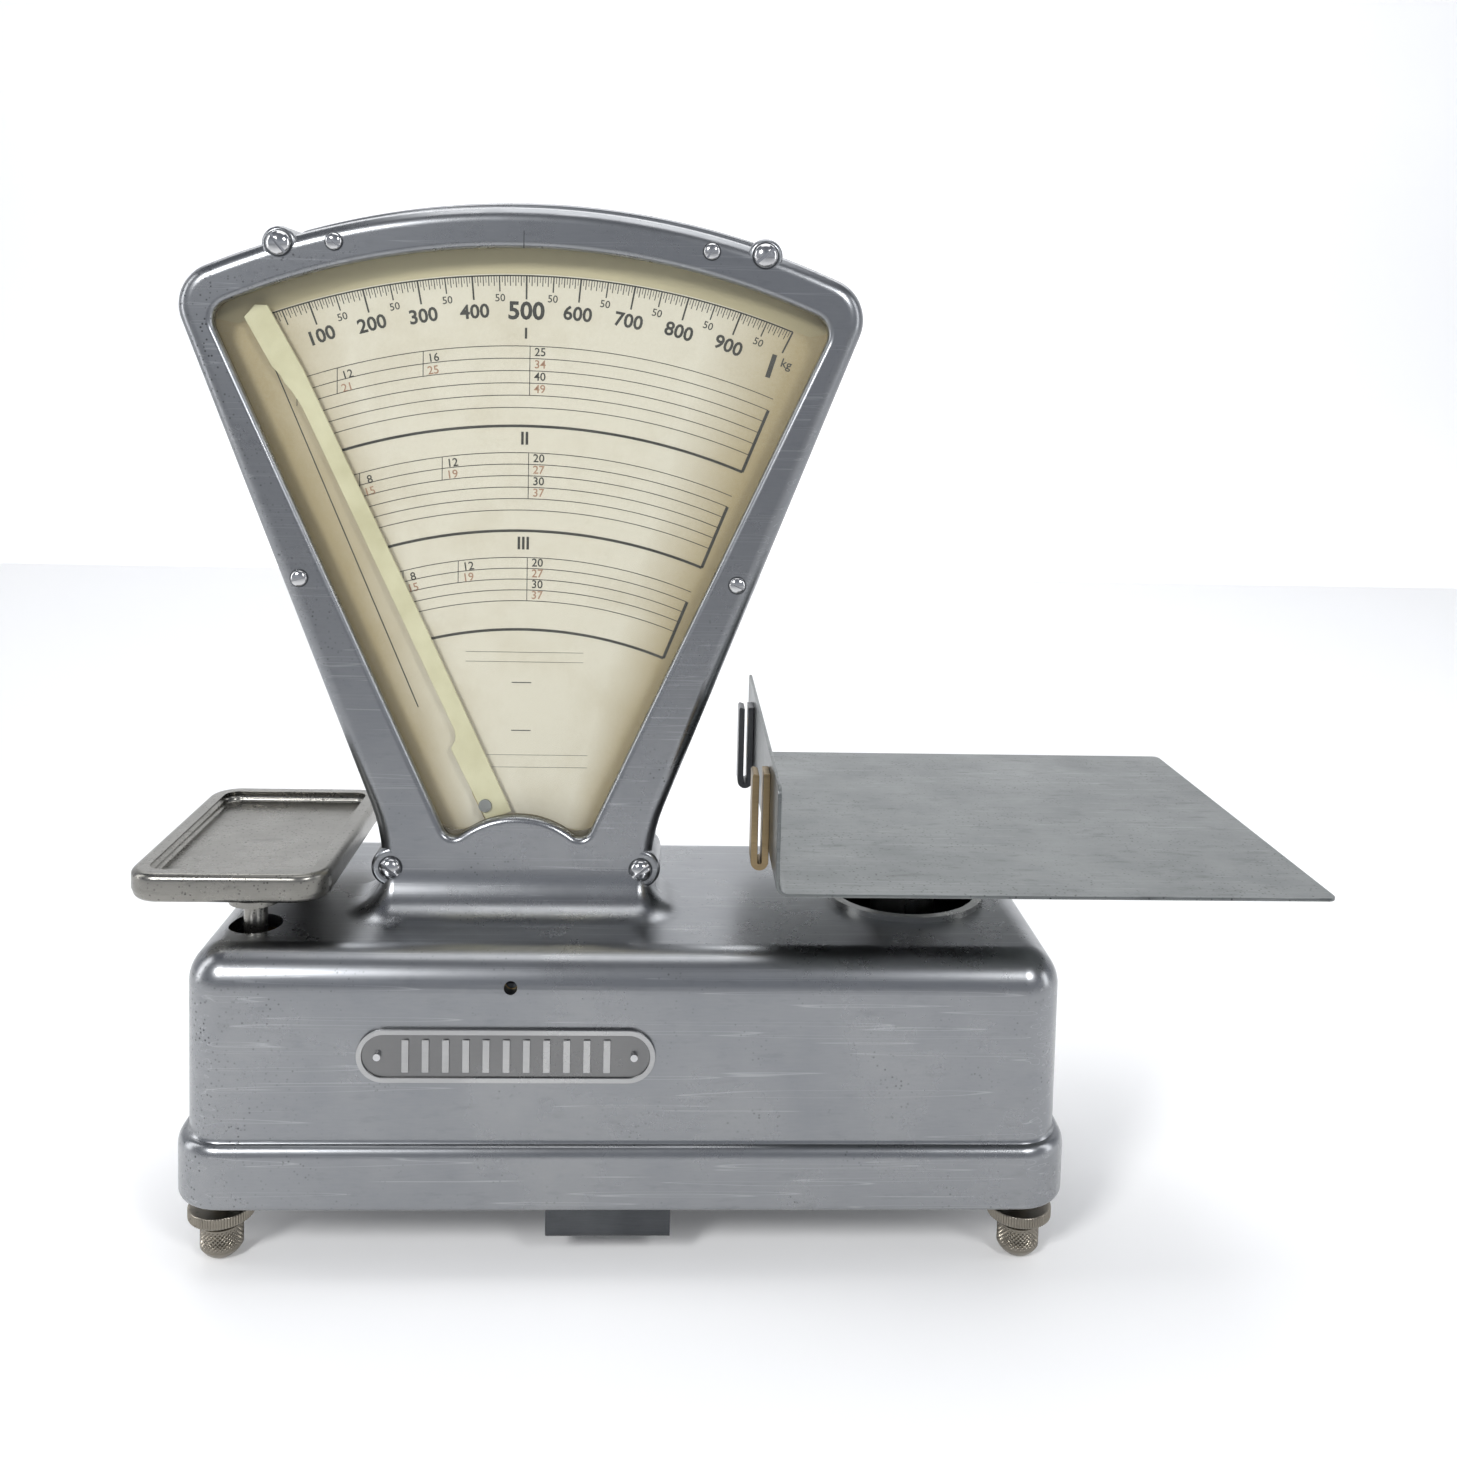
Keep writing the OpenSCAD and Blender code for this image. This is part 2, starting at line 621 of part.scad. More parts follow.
// Turn a point about the origin
function turned(p, a) = [p[0] * cos(a) - p[1] * sin(a), p[0] * sin(a) + p[1] * cos(a)];

teeth = 2 * pinion_r / tooth_m;
backlash = 0.12;

module pinion_2d() {
    base_radius = pinion_r * cos(20);
    half_tooth = 90 / teeth - backlash / 2 / pinion_r * 180 / PI;
    flank_turn = half_tooth + (tan(20) - 20 * PI / 180) * 180 / PI;
    tip_t = sqrt(pow((pinion_r + 0.85 * tooth_m) / base_radius, 2) - 1) * 180 / PI;
    circle(r = pinion_r - 1.2 * tooth_m, $fn = 60);
    for (i = [0:teeth - 1]) rotate(i * 360 / teeth) polygon(concat(
        [turned([pinion_r - 1.3 * tooth_m, 0], -flank_turn)],
        [for (k = [0:4]) turned(flank(base_radius, tip_t * k / 4), -flank_turn)],
        [for (k = [4:-1:0]) let (p = flank(base_radius, tip_t * k / 4)) turned([p[0], -p[1]], flank_turn)],
        [turned([pinion_r - 1.3 * tooth_m, 0], flank_turn)]));
}

// The pinion's teeth stand level with the rack's gaps at no load, on the arbor's left side
module pinion() color("goldenrod") translate([head_x, rack_y + rack_w, arbor_z]) rotate([90, 0, 0])
    linear_extrude(rack_w) difference() {
        rotate(180) pinion_2d();
        circle(r = arbor_r, $fn = 48);
    }

rack_pin_z = beam_z + rack_pin_x * sin(beam_turn / 2);

// Toothed bar with a foot that hangs on the beam's rack pin
module drive_rack() color("darkgoldenrod") difference() {
    translate([head_x - pinion_r, rack_y + rack_w, 0]) rotate([90, 0, 0]) linear_extrude(rack_w) {
        pitch = PI * tooth_m;
        reach = head_x - pinion_r - fulcrum_x - rack_pin_x;
        translate([-6, rack_pin_z - 4]) square([6 - 1.25 * tooth_m, arbor_z + 11 - rack_pin_z + 4]);
        translate([-reach, rack_pin_z - 4]) square([reach - 3, 8]);
        translate([-reach, rack_pin_z]) circle(r = 5, $fn = 48);
        for (i = [-8:6]) translate([-1.3 * tooth_m, arbor_z + (i + 0.5) * pitch]) polygon([
            [0, -pitch / 4 + backlash / 4 - 0.45 * tooth_m], [2.15 * tooth_m, -pitch / 4 + 0.36 * tooth_m],
            [2.15 * tooth_m, pitch / 4 - 0.36 * tooth_m], [0, pitch / 4 - backlash / 4 + 0.45 * tooth_m]]);
    }
    pin_y(fulcrum_x + rack_pin_x, rack_pin_z, 2 + play, rack_y - 1, rack_y + rack_w + 1);
}

module pointer_arm() color("goldenrod") on_arbor() difference() {
    translate([0, -11, 0]) rotate([90, 0, 0]) linear_extrude(1) {
        circle(r = 6, $fn = 48);
        translate([-2.6, 0]) square([5, 34]);
    }
    pin_y(0, 0, arbor_r, -13, -10);
    pin_y(0, rivet_at, 1.2, -13, -10);
}

// Ivory blade with a broad reading end; its left edge is the reading edge
module pointer() color("ivory") on_arbor() difference() {
    translate([0, -12, 0]) rotate([90, 0, 0]) linear_extrude(1.2) polygon([
        [-2, 22], [7.5, 22], [8.2, 100], [8.2, 221.5], [-1.2, 223], [-0.4, 200], [2.4, 190],
        [1.6, 57], [-2.6, 52]]);
    pin_y(0, rivet_at, 1.2, -14, -11);
}

module pointer_rivet() color("gray") on_arbor() {
    pin_y(0, rivet_at, 1.15, -13.2, -11);
    pin_y(0, rivet_at, 2.3, -14, -13.2);
}

module pendulum_rod() color("gray") on_arbor() difference() {
    translate([0, -2, 0]) rotate([90, 0, 0]) linear_extrude(3) {
        circle(r = 7, $fn = 48);
        translate([-3, -pendulum_l]) square([6, pendulum_l]);
    }
    pin_y(0, 0, arbor_r, -6, 0);
}

module pendulum_weight() color("dimgray") on_arbor() difference() {
    pin_y(0, -pendulum_l, pendulum_r, -19, 4);
    translate([-3, -5, -pendulum_l]) cube([6, 3, 30]);
}

// ---- dashpot's moving parts ----

piston_lift = piston_x * sin(beam_turn / 2);

module piston_rod() color("silver") translate([fulcrum_x + piston_x, 0, 0]) difference() {
    union() {
        translate([0, 0, piston_z]) cylinder(r = 2, h = beam_z + piston_lift - piston_z, $fn = 32);
        pin_y(0, beam_z + piston_lift, 6, -3, 3);
    }
    pin_y(0, beam_z + piston_lift, pin_r + play, -4, 4);
}

module piston() color("goldenrod") translate([fulcrum_x + piston_x, 0, piston_z]) difference() {
    cylinder(r = pot_r - 2, h = 2.5, $fn = 64);
    translate([0, 0, -1]) cylinder(r = 2, h = 5, $fn = 32);
}

// ---- levelling feet ----

// Knob with a domed underside, flat in the middle, on a stud
module foot(x, y) color([0.45, 0.42, 0.38]) translate([x, y, 0]) {
    translate([0, 0, 3]) cylinder(r1 = 6.6, r2 = knob_r, h = 1, $fn = 48);
    translate([0, 0, 4]) cylinder(r = knob_r, h = 8, $fn = 48);
    intersection() {
        translate([0, 0, 7.2]) sphere(r = 8, $fn = 64);
        cylinder(r = 9, h = 3, $fn = 48);
    }
    translate([0, 0, 11]) cylinder(r = stud_r, h = 36, $fn = 48);
}

module lock_nut(x, y) color([0.45, 0.42, 0.38]) translate([x, y, nut_z]) difference() {
    cylinder(r = nut_r, h = 4, $fn = 48);
    translate([0, 0, -1]) cylinder(r = stud_r + thread_gap, h = 6, $fn = 48);
}

body_casting();
head_rear_cover();
window_glass();
glass_retainer();
chart_plate();
case_screws();
retainer_screws();
badge();
badge_pins();
post_ring();
base_plate();
base_plate_screws();
fulcrum_bracket();
fulcrum_bearings();
movement_plates();
movement_pillars();
dashpot_cylinder();
folded_stop();
zero_screw_block();
zero_screw();
beam();
fulcrum_knives();
beam_end_pins();
beam_cross_bars();
check_link();
check_link_pins();
pan_stems();
pan_yoke();
tare_weight();
weight_pan();
tray_post();
tray_support();
letter_tray();
tray_set_screws();
fence_hooks();
hook_rivets();
arbor();
pinion();
pointer_arm();
pointer();
pointer_rivet();
pendulum_rod();
pendulum_weight();
drive_rack();
piston_rod();
piston();
foot(foot_x[0], -foot_y);  // foot_front_left
foot(foot_x[1], -foot_y);  // foot_front_right
foot(foot_x[0], foot_y);  // foot_rear_left
foot(foot_x[1], foot_y);  // foot_rear_right
lock_nut(foot_x[0], -foot_y);  // lock_nut_front_left
lock_nut(foot_x[1], -foot_y);  // lock_nut_front_right
lock_nut(foot_x[0], foot_y);  // lock_nut_rear_left
lock_nut(foot_x[1], foot_y);  // lock_nut_rear_right
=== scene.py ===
"""Looks of the letter scale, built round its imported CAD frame. Lengths in the shapes are millimetres."""
import json
import math

import bpy
import bmesh
import numpy as np
from mathutils import Matrix, Vector


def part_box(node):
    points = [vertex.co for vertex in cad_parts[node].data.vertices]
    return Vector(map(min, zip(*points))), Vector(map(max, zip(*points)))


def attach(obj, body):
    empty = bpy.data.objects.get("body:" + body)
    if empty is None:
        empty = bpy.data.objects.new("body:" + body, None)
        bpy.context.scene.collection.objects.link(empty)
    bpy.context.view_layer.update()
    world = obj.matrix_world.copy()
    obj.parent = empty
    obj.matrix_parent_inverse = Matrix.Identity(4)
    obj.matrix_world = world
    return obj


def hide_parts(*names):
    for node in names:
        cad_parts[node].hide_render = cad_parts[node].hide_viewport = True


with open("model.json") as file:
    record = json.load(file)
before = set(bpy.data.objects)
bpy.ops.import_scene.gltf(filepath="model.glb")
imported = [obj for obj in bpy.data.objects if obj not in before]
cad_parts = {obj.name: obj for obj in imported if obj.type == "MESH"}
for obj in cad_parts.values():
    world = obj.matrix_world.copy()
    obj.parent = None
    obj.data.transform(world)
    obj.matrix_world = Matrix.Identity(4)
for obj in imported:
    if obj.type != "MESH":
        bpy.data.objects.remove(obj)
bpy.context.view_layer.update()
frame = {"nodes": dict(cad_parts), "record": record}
NODES = frame["nodes"]
MM = 0.001


def box_mm(node):
    """Lowest and highest corner of a CAD node, in millimetres."""
    low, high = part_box(node)
    return np.array(low) / MM, np.array(high) / MM


def middle(node, axis):
    """Middle of a CAD node along one axis, in millimetres."""
    low, high = box_mm(node)
    return (low[axis] + high[axis]) / 2


# ---- places taken from the frame ----

CASE_LOW, CASE_HIGH = box_mm("body_casting")
COVER_LOW, COVER_HIGH = box_mm("head_rear_cover")
CHART_HIGH = box_mm("chart_plate")[1]
PAN_LOW, PAN_HIGH = box_mm("weight_pan")
TRAY_LOW, TRAY_HIGH = box_mm("letter_tray")
BADGE_LOW, BADGE_HIGH = box_mm("badge")
HOOK_LOW, HOOK_HIGH = box_mm("fence_hooks")
POINTER_LOW, POINTER_HIGH = box_mm("pointer")

# the base: its wall, how far the skirt stands out, the skirt's height, and the case's box
WALL = 4.5
SKIRT_OUT = 3.6
SKIRT_H = 22.5
BASE_X = middle("base_plate", 0)
BASE_W = 2 * (CASE_HIGH[0] - BASE_X - SKIRT_OUT)
BASE_D = -2 * (CASE_LOW[1] + SKIRT_OUT)
BASE_BOTTOM = CASE_LOW[2]
BASE_TOP = box_mm("post_ring")[1][2] - 2
STEM_X = middle("pan_stems", 0)
POST_X = middle("post_ring", 0)

# the head: wall, parting gap, centre line, faces, parting plane, and the top arc with its centre
HEAD_WALL = 2.6
PARTING_GAP = 0.1
HEAD_X = middle("window_glass", 0)
HEAD_FRONT = box_mm("window_glass")[0][1] - 3.05
HEAD_SPLIT = COVER_LOW[1] - PARTING_GAP
HEAD_REAR = COVER_HIGH[1]
HEAD_R = 277
ARC_Z = CASE_HIGH[2] - HEAD_R

# half width of the neck, the height where its sides start to slant, and run over rise of the slanted edges
NECK = 48
NECK_TOP = 136
SLOPE = 0.3875
WINDOW_SLOPE = 0.445

# the arbor, the chart's front face and the pointer's lean at no load
ARBOR_Z = middle("arbor", 2)
CHART_Y = CHART_HIGH[1] - 1
ZERO_ANGLE = math.radians(25.6)

# screws of the head's front: distance from the centre line and height, then the radius of each size of head
UPPER_SCREW = (83.5, 343)
LOWER_SCREW = (44.2, 124.8)
SMALL_TOP = (64.8, 344)
SMALL_MID = (76.3, 227.6)
UPPER_SCREW_R = 4.25
LOWER_SCREW_R = 3.85
SMALL_SCREW_R = 2.85


# ---- meshes ----

def add_object(name, data):
    """New object in the scene."""
    obj = bpy.data.objects.new(name, data)
    bpy.context.scene.collection.objects.link(obj)
    return obj


def new_object(name, verts, faces):
    """Object from points in millimetres in the frame's own axes."""
    mesh = bpy.data.meshes.new(name)
    mesh.from_pydata([tuple(float(c) * MM for c in v) for v in verts], [], faces)
    mesh.update()
    clean = bmesh.new()
    clean.from_mesh(mesh)
    bmesh.ops.recalc_face_normals(clean, faces=clean.faces)
    clean.to_mesh(mesh)
    clean.free()
    return add_object(name, mesh)


def apply_modifiers(obj):
    """Turn the modifiers into plain mesh."""
    depsgraph = bpy.context.evaluated_depsgraph_get()
    mesh = bpy.data.meshes.new_from_object(obj.evaluated_get(depsgraph))
    obj.modifiers.clear()
    obj.data = mesh


def boolean(obj, others, operation):
    """Exact union or difference with each of the others, which are used up."""
    for other in others:
        modifier = obj.modifiers.new("cut", "BOOLEAN")
        modifier.operation = operation
        modifier.solver = "EXACT"
        modifier.object = other
        apply_modifiers(obj)
        bpy.data.objects.remove(other)
    return obj


def bevel(obj, width, segments=2, angle=40):
    """Rounded edges wherever two faces meet at more than the angle."""
    modifier = obj.modifiers.new("bevel", "BEVEL")
    modifier.width = width * MM
    modifier.segments = segments
    modifier.limit_method = "ANGLE"
    modifier.angle_limit = math.radians(angle)
    modifier.harden_normals = False
    apply_modifiers(obj)
    return obj


def smooth(obj, angle=32):
    """Smooth faces, sharp edges above the angle, flat faces kept flat by area-weighted normals."""
    clean = bmesh.new()
    clean.from_mesh(obj.data)
    bmesh.ops.remove_doubles(clean, verts=clean.verts, dist=2e-6)
    bmesh.ops.dissolve_degenerate(clean, edges=clean.edges, dist=1e-6)
    for face in clean.faces:
        face.smooth = True
    for edge in clean.edges:
        edge.smooth = len(edge.link_faces) == 2 and edge.calc_face_angle(0) < math.radians(angle)
    clean.to_mesh(obj.data)
    clean.free()
    modifier = obj.modifiers.new("normals", "WEIGHTED_NORMAL")
    modifier.keep_sharp = True
    modifier.weight = 60
    apply_modifiers(obj)
    return obj


def finish_piece(obj, body, slot, replaced=(), material=None):
    """Give a piece its slot's look or another and its body, and hide the CAD nodes that it replaces."""
    obj.data.materials.clear()
    obj.data.materials.append(material or LOOKS[slot])
    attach(obj, body)
    if replaced:
        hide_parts(*replaced)


def loft_faces(n, rows, base=0):
    """Faces of a closed solid through rings of n points, numbered from a base."""
    quads = [(k * n + i, k * n + (i + 1) % n, (k + 1) * n + (i + 1) % n, (k + 1) * n + i)
             for k in range(rows - 1) for i in range(n)]
    ends = [range(n)[::-1], range((rows - 1) * n, rows * n)]
    return [[base + corner for corner in face] for face in quads + ends]


def loft(name, rings):
    """Closed solid through rings that have the same number of points."""
    return new_object(name, [p for ring in rings for p in ring], loft_faces(len(rings[0]), len(rings)))


def arc_points(cx, cy, r, a0, a1, n):
    """Points on an arc with their normals, angles in degrees. A clockwise arc is hollow."""
    angles = np.radians(np.linspace(a0, a1, n))
    normal = np.stack([np.cos(angles), np.sin(angles)], 1)
    return np.array([cx, cy]) + r * normal, normal * (1 if a1 > a0 else -1)


def join_outline(parts):
    """One outline from several stretches, each with its points and normals."""
    return np.concatenate([p for p, _ in parts]), np.concatenate([n for _, n in parts])


def round_rect(w, d, r, n=10):
    """Rounded rectangle round (0, 0) with its normals."""
    return join_outline([arc_points(sx * (w / 2 - r), sy * (d / 2 - r), r, a, a + 90, n)
                         for sx, sy, a in ((1, 1, 0), (-1, 1, 90), (-1, -1, 180), (1, -1, 270))])


def inset(outline, distance):
    """Points of an outline moved inwards along their normals."""
    points, normals = outline
    return points - normals * distance


def quarter(r, n=8):
    """(inset, drop) pairs of a quarter round, from the side to the face."""
    return [(r - r * math.cos(a), r - r * math.sin(a)) for a in np.linspace(0, math.pi / 2, n)]


def rounded_solid(name, outline, bottom, top, r_low, r_top, place=(0, 0)):
    """Solid with an outline, standing between two levels, with rounded lower and upper edges."""
    profile = [(d, bottom + z) for d, z in reversed(quarter(r_low))]
    profile += [(d, top - z) for d, z in quarter(r_top)]
    return loft(name, [[(x + place[0], y + place[1], z) for x, y in inset(outline, d)]
                       for d, z in profile])


def circle(n):
    """(cosine, sine) pairs of n even places round a circle."""
    return [(math.cos(a), math.sin(a)) for a in np.linspace(0, 2 * math.pi, n, endpoint=False)]


def bend(cx, cy, r, start, end, n):
    """Points on an arc between two angles that are given in quarter turns."""
    angles = np.linspace(start * math.pi / 2, end * math.pi / 2, n)
    return [(cx + r * math.cos(a), cy + r * math.sin(a)) for a in angles]


def cylinder(name, x, y, z0, z1, r, n=64):
    """Upright cylinder."""
    return loft(name, [[(x + r * c, y + r * s, z) for c, s in circle(n)] for z in (z0, z1)])


def revolve_y(name, profile, place, n):
    """Solid of revolution about an axis along Y, from (radius, height towards the front) points."""
    x, y, z = place
    return loft(name, [[(x + r * c, y - h, z + r * s) for c, s in circle(n)] for r, h in profile])


def extrude_y(name, points, y0, y1):
    """Solid with an outline in X and Z between two depths."""
    return loft(name, [[(x, y, z) for x, z in points] for y in (y0, y1)])


def block(name, x, z0, z1, width, y0, y1):
    """Upright bar with square edges."""
    half = width / 2
    return extrude_y(name, [(x - half, z0), (x + half, z0), (x + half, z1), (x - half, z1)], y0, y1)


def join(name, objects):
    """One object from several."""
    gathered = bmesh.new()
    for obj in objects:
        gathered.from_mesh(obj.data)
    mesh = bpy.data.meshes.new(name)
    gathered.to_mesh(mesh)
    gathered.free()
    for obj in objects:
        bpy.data.objects.remove(obj)
    return add_object(name, mesh)


# ---- materials ----

class Graph:
    """Nodes of a material or of the world, with the few kinds of node that the looks are made of."""

    def __init__(self, owner):
        owner.use_nodes = True
        self.nodes, self.links = owner.node_tree.nodes, owner.node_tree.links

    def fill(self, node, values):
        """Give each named input a value, or link it to another node's output."""
        for name, value in values.items():
            socket = node.inputs[name]
            if isinstance(value, bpy.types.NodeSocket):
                self.links.new(value, socket)
            else:
                socket.default_value = (*value, 1) if socket.type == "RGBA" else value

    def new(self, kind, values):
        """New node with its inputs filled."""
        node = self.nodes.new("ShaderNode" + kind)
        self.fill(node, values)
        return node

    def axes(self, space="Object"):
        """X, Y and Z outputs of a set of coordinates."""
        coordinate = self.new("TexCoord", {})
        return self.new("SeparateXYZ", {"Vector": coordinate.outputs[space]}).outputs

    def texture(self, kind, values, stretch=(1, 1, 1), turn=(0, 0, 0)):
        """Texture on object coordinates, with its size set per axis."""
        coordinate = self.new("TexCoord", {})
        source = coordinate.outputs["Object"]
        mapping = self.new("Mapping", {"Vector": source, "Scale": stretch, "Rotation": turn})
        return self.new(kind, {"Vector": mapping.outputs["Vector"], **values}).outputs

    def noise(self, scale, stretch=(1, 1, 1), detail=3.0, turn=(0, 0, 0)):
        values = {"Scale": scale, "Detail": detail, "Roughness": 0.6}
        return self.texture("TexNoise", values, stretch, turn)["Fac"]

    def ramp(self, source, stops):
        """Colour ramp from (position, value or colour) stops."""
        node = self.new("ValToRGB", {"Fac": source})
        while len(node.color_ramp.elements) < len(stops):
            node.color_ramp.elements.new(0.5)
        for element, (position, value) in zip(node.color_ramp.elements, stops):
            element.position = position
            colour = value if isinstance(value, tuple) else (value, value, value)
            element.color = (*colour, 1)
        return node.outputs["Color"]

    def mix(self, factor, a, b, blend="MIX"):
        """Mix of two colours."""
        node = self.new("Mix", {0: factor, 6: a, 7: b})
        node.data_type = "RGBA"
        node.blend_type = blend
        return node.outputs[2]

    def bump(self, source, depth, below=None, inverted=False):
        """Bump of a depth in millimetres, over another bump."""
        node = self.new("Bump", {"Strength": 1.0, "Distance": depth * MM, "Height": source})
        node.invert = inverted
        if below is not None:
            self.fill(node, {"Normal": below})
        return node.outputs["Normal"]

    def axis_ramp(self, axis, stops):
        """Values along one axis of the object, from (millimetres, value) stops in rising order."""
        low, high = float(stops[0][0]), float(stops[-1][0])
        span = self.new("MapRange", {"Value": self.axes()[axis], "From Min": low * MM, "From Max": high * MM})
        return self.ramp(span.outputs["Result"], [((float(p) - low) / (high - low), v) for p, v in stops])


def material_with(name, values):
    """New material with its graph and its main shader, whose inputs are filled."""
    material = bpy.data.materials.new(name)
    graph = Graph(material)
    shader = graph.nodes["Principled BSDF"]
    graph.fill(shader, values)
    return material, graph, shader


# how each family of scratches is turned, and the level of noise at which its lines stand
SCRATCH_FAMILIES = ((0.05, 0.69), (-0.5, 0.72), (0.9, 0.73))


def metal(name, dark, light, rough, brush=(1, 14, 14), brush_depth=0.003, pits=0.0, pit_scale=420,
          stain=0.0, scratches=0.0, worn_end=None, recess=None):
    """Worn metal: cloudy tone and fine brushing, with pits, stains, scratches or a recess if asked for."""
    material, graph, shader = material_with(name, {"Metallic": 1.0})
    cloud = graph.noise(28, detail=5.0)
    fine = graph.noise(420, detail=4.0)
    hair = graph.noise(160, stretch=brush, detail=4.0)
    tone = graph.ramp(cloud, [(0.3, dark), (0.7, light)])
    tone = graph.mix(0.25, tone, graph.ramp(hair, [(0.3, dark), (0.7, light)]))
    rough_cloud = graph.ramp(cloud, [(0.3, rough[1]), (0.75, rough[0])])
    rough_fine = graph.ramp(fine, [(0.3, rough[0]), (0.8, rough[1])])
    roughness = graph.mix(0.2, rough_cloud, rough_fine)
    normal = graph.bump(hair, brush_depth)
    normal = graph.bump(fine, brush_depth * 0.4, normal)
    grime = tuple(0.3 * c for c in dark)
    for turn, level in SCRATCH_FAMILIES if scratches else ():
        lines = graph.noise(8, stretch=(1, 60, 60), detail=0.0, turn=(turn, turn, turn))
        line = graph.ramp(lines, [(level, 0.0), (level + 0.01, scratches), (level + 0.03, 0.0)])
        tone = graph.mix(line, tone, tuple(1.5 * c for c in light))
        normal = graph.bump(line, 0.004, normal, inverted=True)
    if pits:
        spots = graph.texture("TexVoronoi", {"Scale": pit_scale})["Distance"]
        where = graph.noise(60)
        spot = graph.ramp(spots, [(0.1, 1.0), (0.26, 0.0)])
        field = graph.ramp(where, [(0.62 - 0.3 * pits, 0.0), (0.9 - 0.3 * pits, 1.0)])
        if worn_end:
            field = graph.mix(1.0, field, graph.axis_ramp("X", worn_end), "ADD")
        pit = graph.mix(1.0, spot, field, "MULTIPLY")
        tone = graph.mix(pit, tone, grime)
        normal = graph.bump(pit, 0.008, normal, inverted=True)
    if stain:
        marks = graph.noise(70, stretch=(1.2, 4, 4), detail=8.0)
        mask = graph.ramp(marks, [(0.56, 0.0), (0.72, stain)])
        tone = graph.mix(mask, tone, tuple(0.55 * c for c in dark))
    if recess:
        tone = graph.mix(graph.axis_ramp("Y", recess), tone, grime)
    graph.fill(shader, {"Base Color": tone, "Roughness": roughness, "Normal": normal})
    return material


def paper(name, inner, outer, start):
    """Aged printed sheet that darkens towards the slanted edges of the window: partly the paper's own
    staining, partly painted shade where the bezel shades it.
    """
    material, graph, shader = material_with(name, {"Roughness": 0.62})
    split = graph.axes()

    def maths(operation, a, b):
        node = graph.new("Math", {0: a, 1: b})
        node.operation = operation
        return node.outputs["Value"]

    apex_z = 76.0  # where the window's slanted edges would meet
    # partly real staining, partly painted shade: darker towards the window's slanted edges
    across = maths("ABSOLUTE", maths("SUBTRACT", split["X"], float(HEAD_X * MM)), 0.0)
    half = maths("MULTIPLY", maths("SUBTRACT", split["Z"], apex_z * MM), WINDOW_SLOPE)
    wobble = maths("MULTIPLY", graph.noise(45, detail=5.0), 0.14)
    share = maths("ADD", maths("DIVIDE", across, half), wobble)
    age_and_shade = graph.ramp(share, [(start, inner), (1.04, outer)])
    cloud = graph.noise(34, detail=6.0)
    age_and_shade = graph.mix(graph.ramp(cloud, [(0.5, 0.0), (0.8, 0.3)]), age_and_shade, outer)
    fibre = graph.noise(900)
    age_and_shade = graph.mix(0.1, age_and_shade, graph.ramp(fibre, [(0.3, outer), (0.7, inner)]))
    graph.fill(shader, {"Base Color": age_and_shade, "Normal": graph.bump(fibre, 0.01)})
    return material


def coated(name, dark, light, roughness):
    """Non-metal surface with a cloudy tone and a slight texture."""
    material, graph, shader = material_with(name, {"Roughness": roughness})
    tone = graph.ramp(graph.noise(60, detail=5.0), [(0.3, dark), (0.7, light)])
    grain = graph.noise(720)
    graph.fill(shader, {"Base Color": tone, "Normal": graph.bump(grain, 0.01)})
    return material


def pane(name):
    """Clear glass: see-through, with a faint reflection that grows at slanted views."""
    material = bpy.data.materials.new(name)
    graph = Graph(material)
    graph.nodes.clear()
    clear = graph.new("BsdfTransparent", {"Color": (0.97, 0.98, 0.96)})
    gloss = graph.new("BsdfGlossy", {"Roughness": 0.03, "Color": (1, 1, 1)})
    edge = graph.new("LayerWeight", {"Blend": 0.5})
    reflection = [(0.0, 0.022), (0.45, 0.03), (0.75, 0.09), (1.0, 0.6)]
    share = graph.ramp(edge.outputs["Facing"], reflection)
    blend = graph.new("MixShader", {"Fac": share, 1: clear.outputs["BSDF"], 2: gloss.outputs["BSDF"]})
    graph.new("OutputMaterial", {"Surface": blend.outputs["Shader"]})
    return material


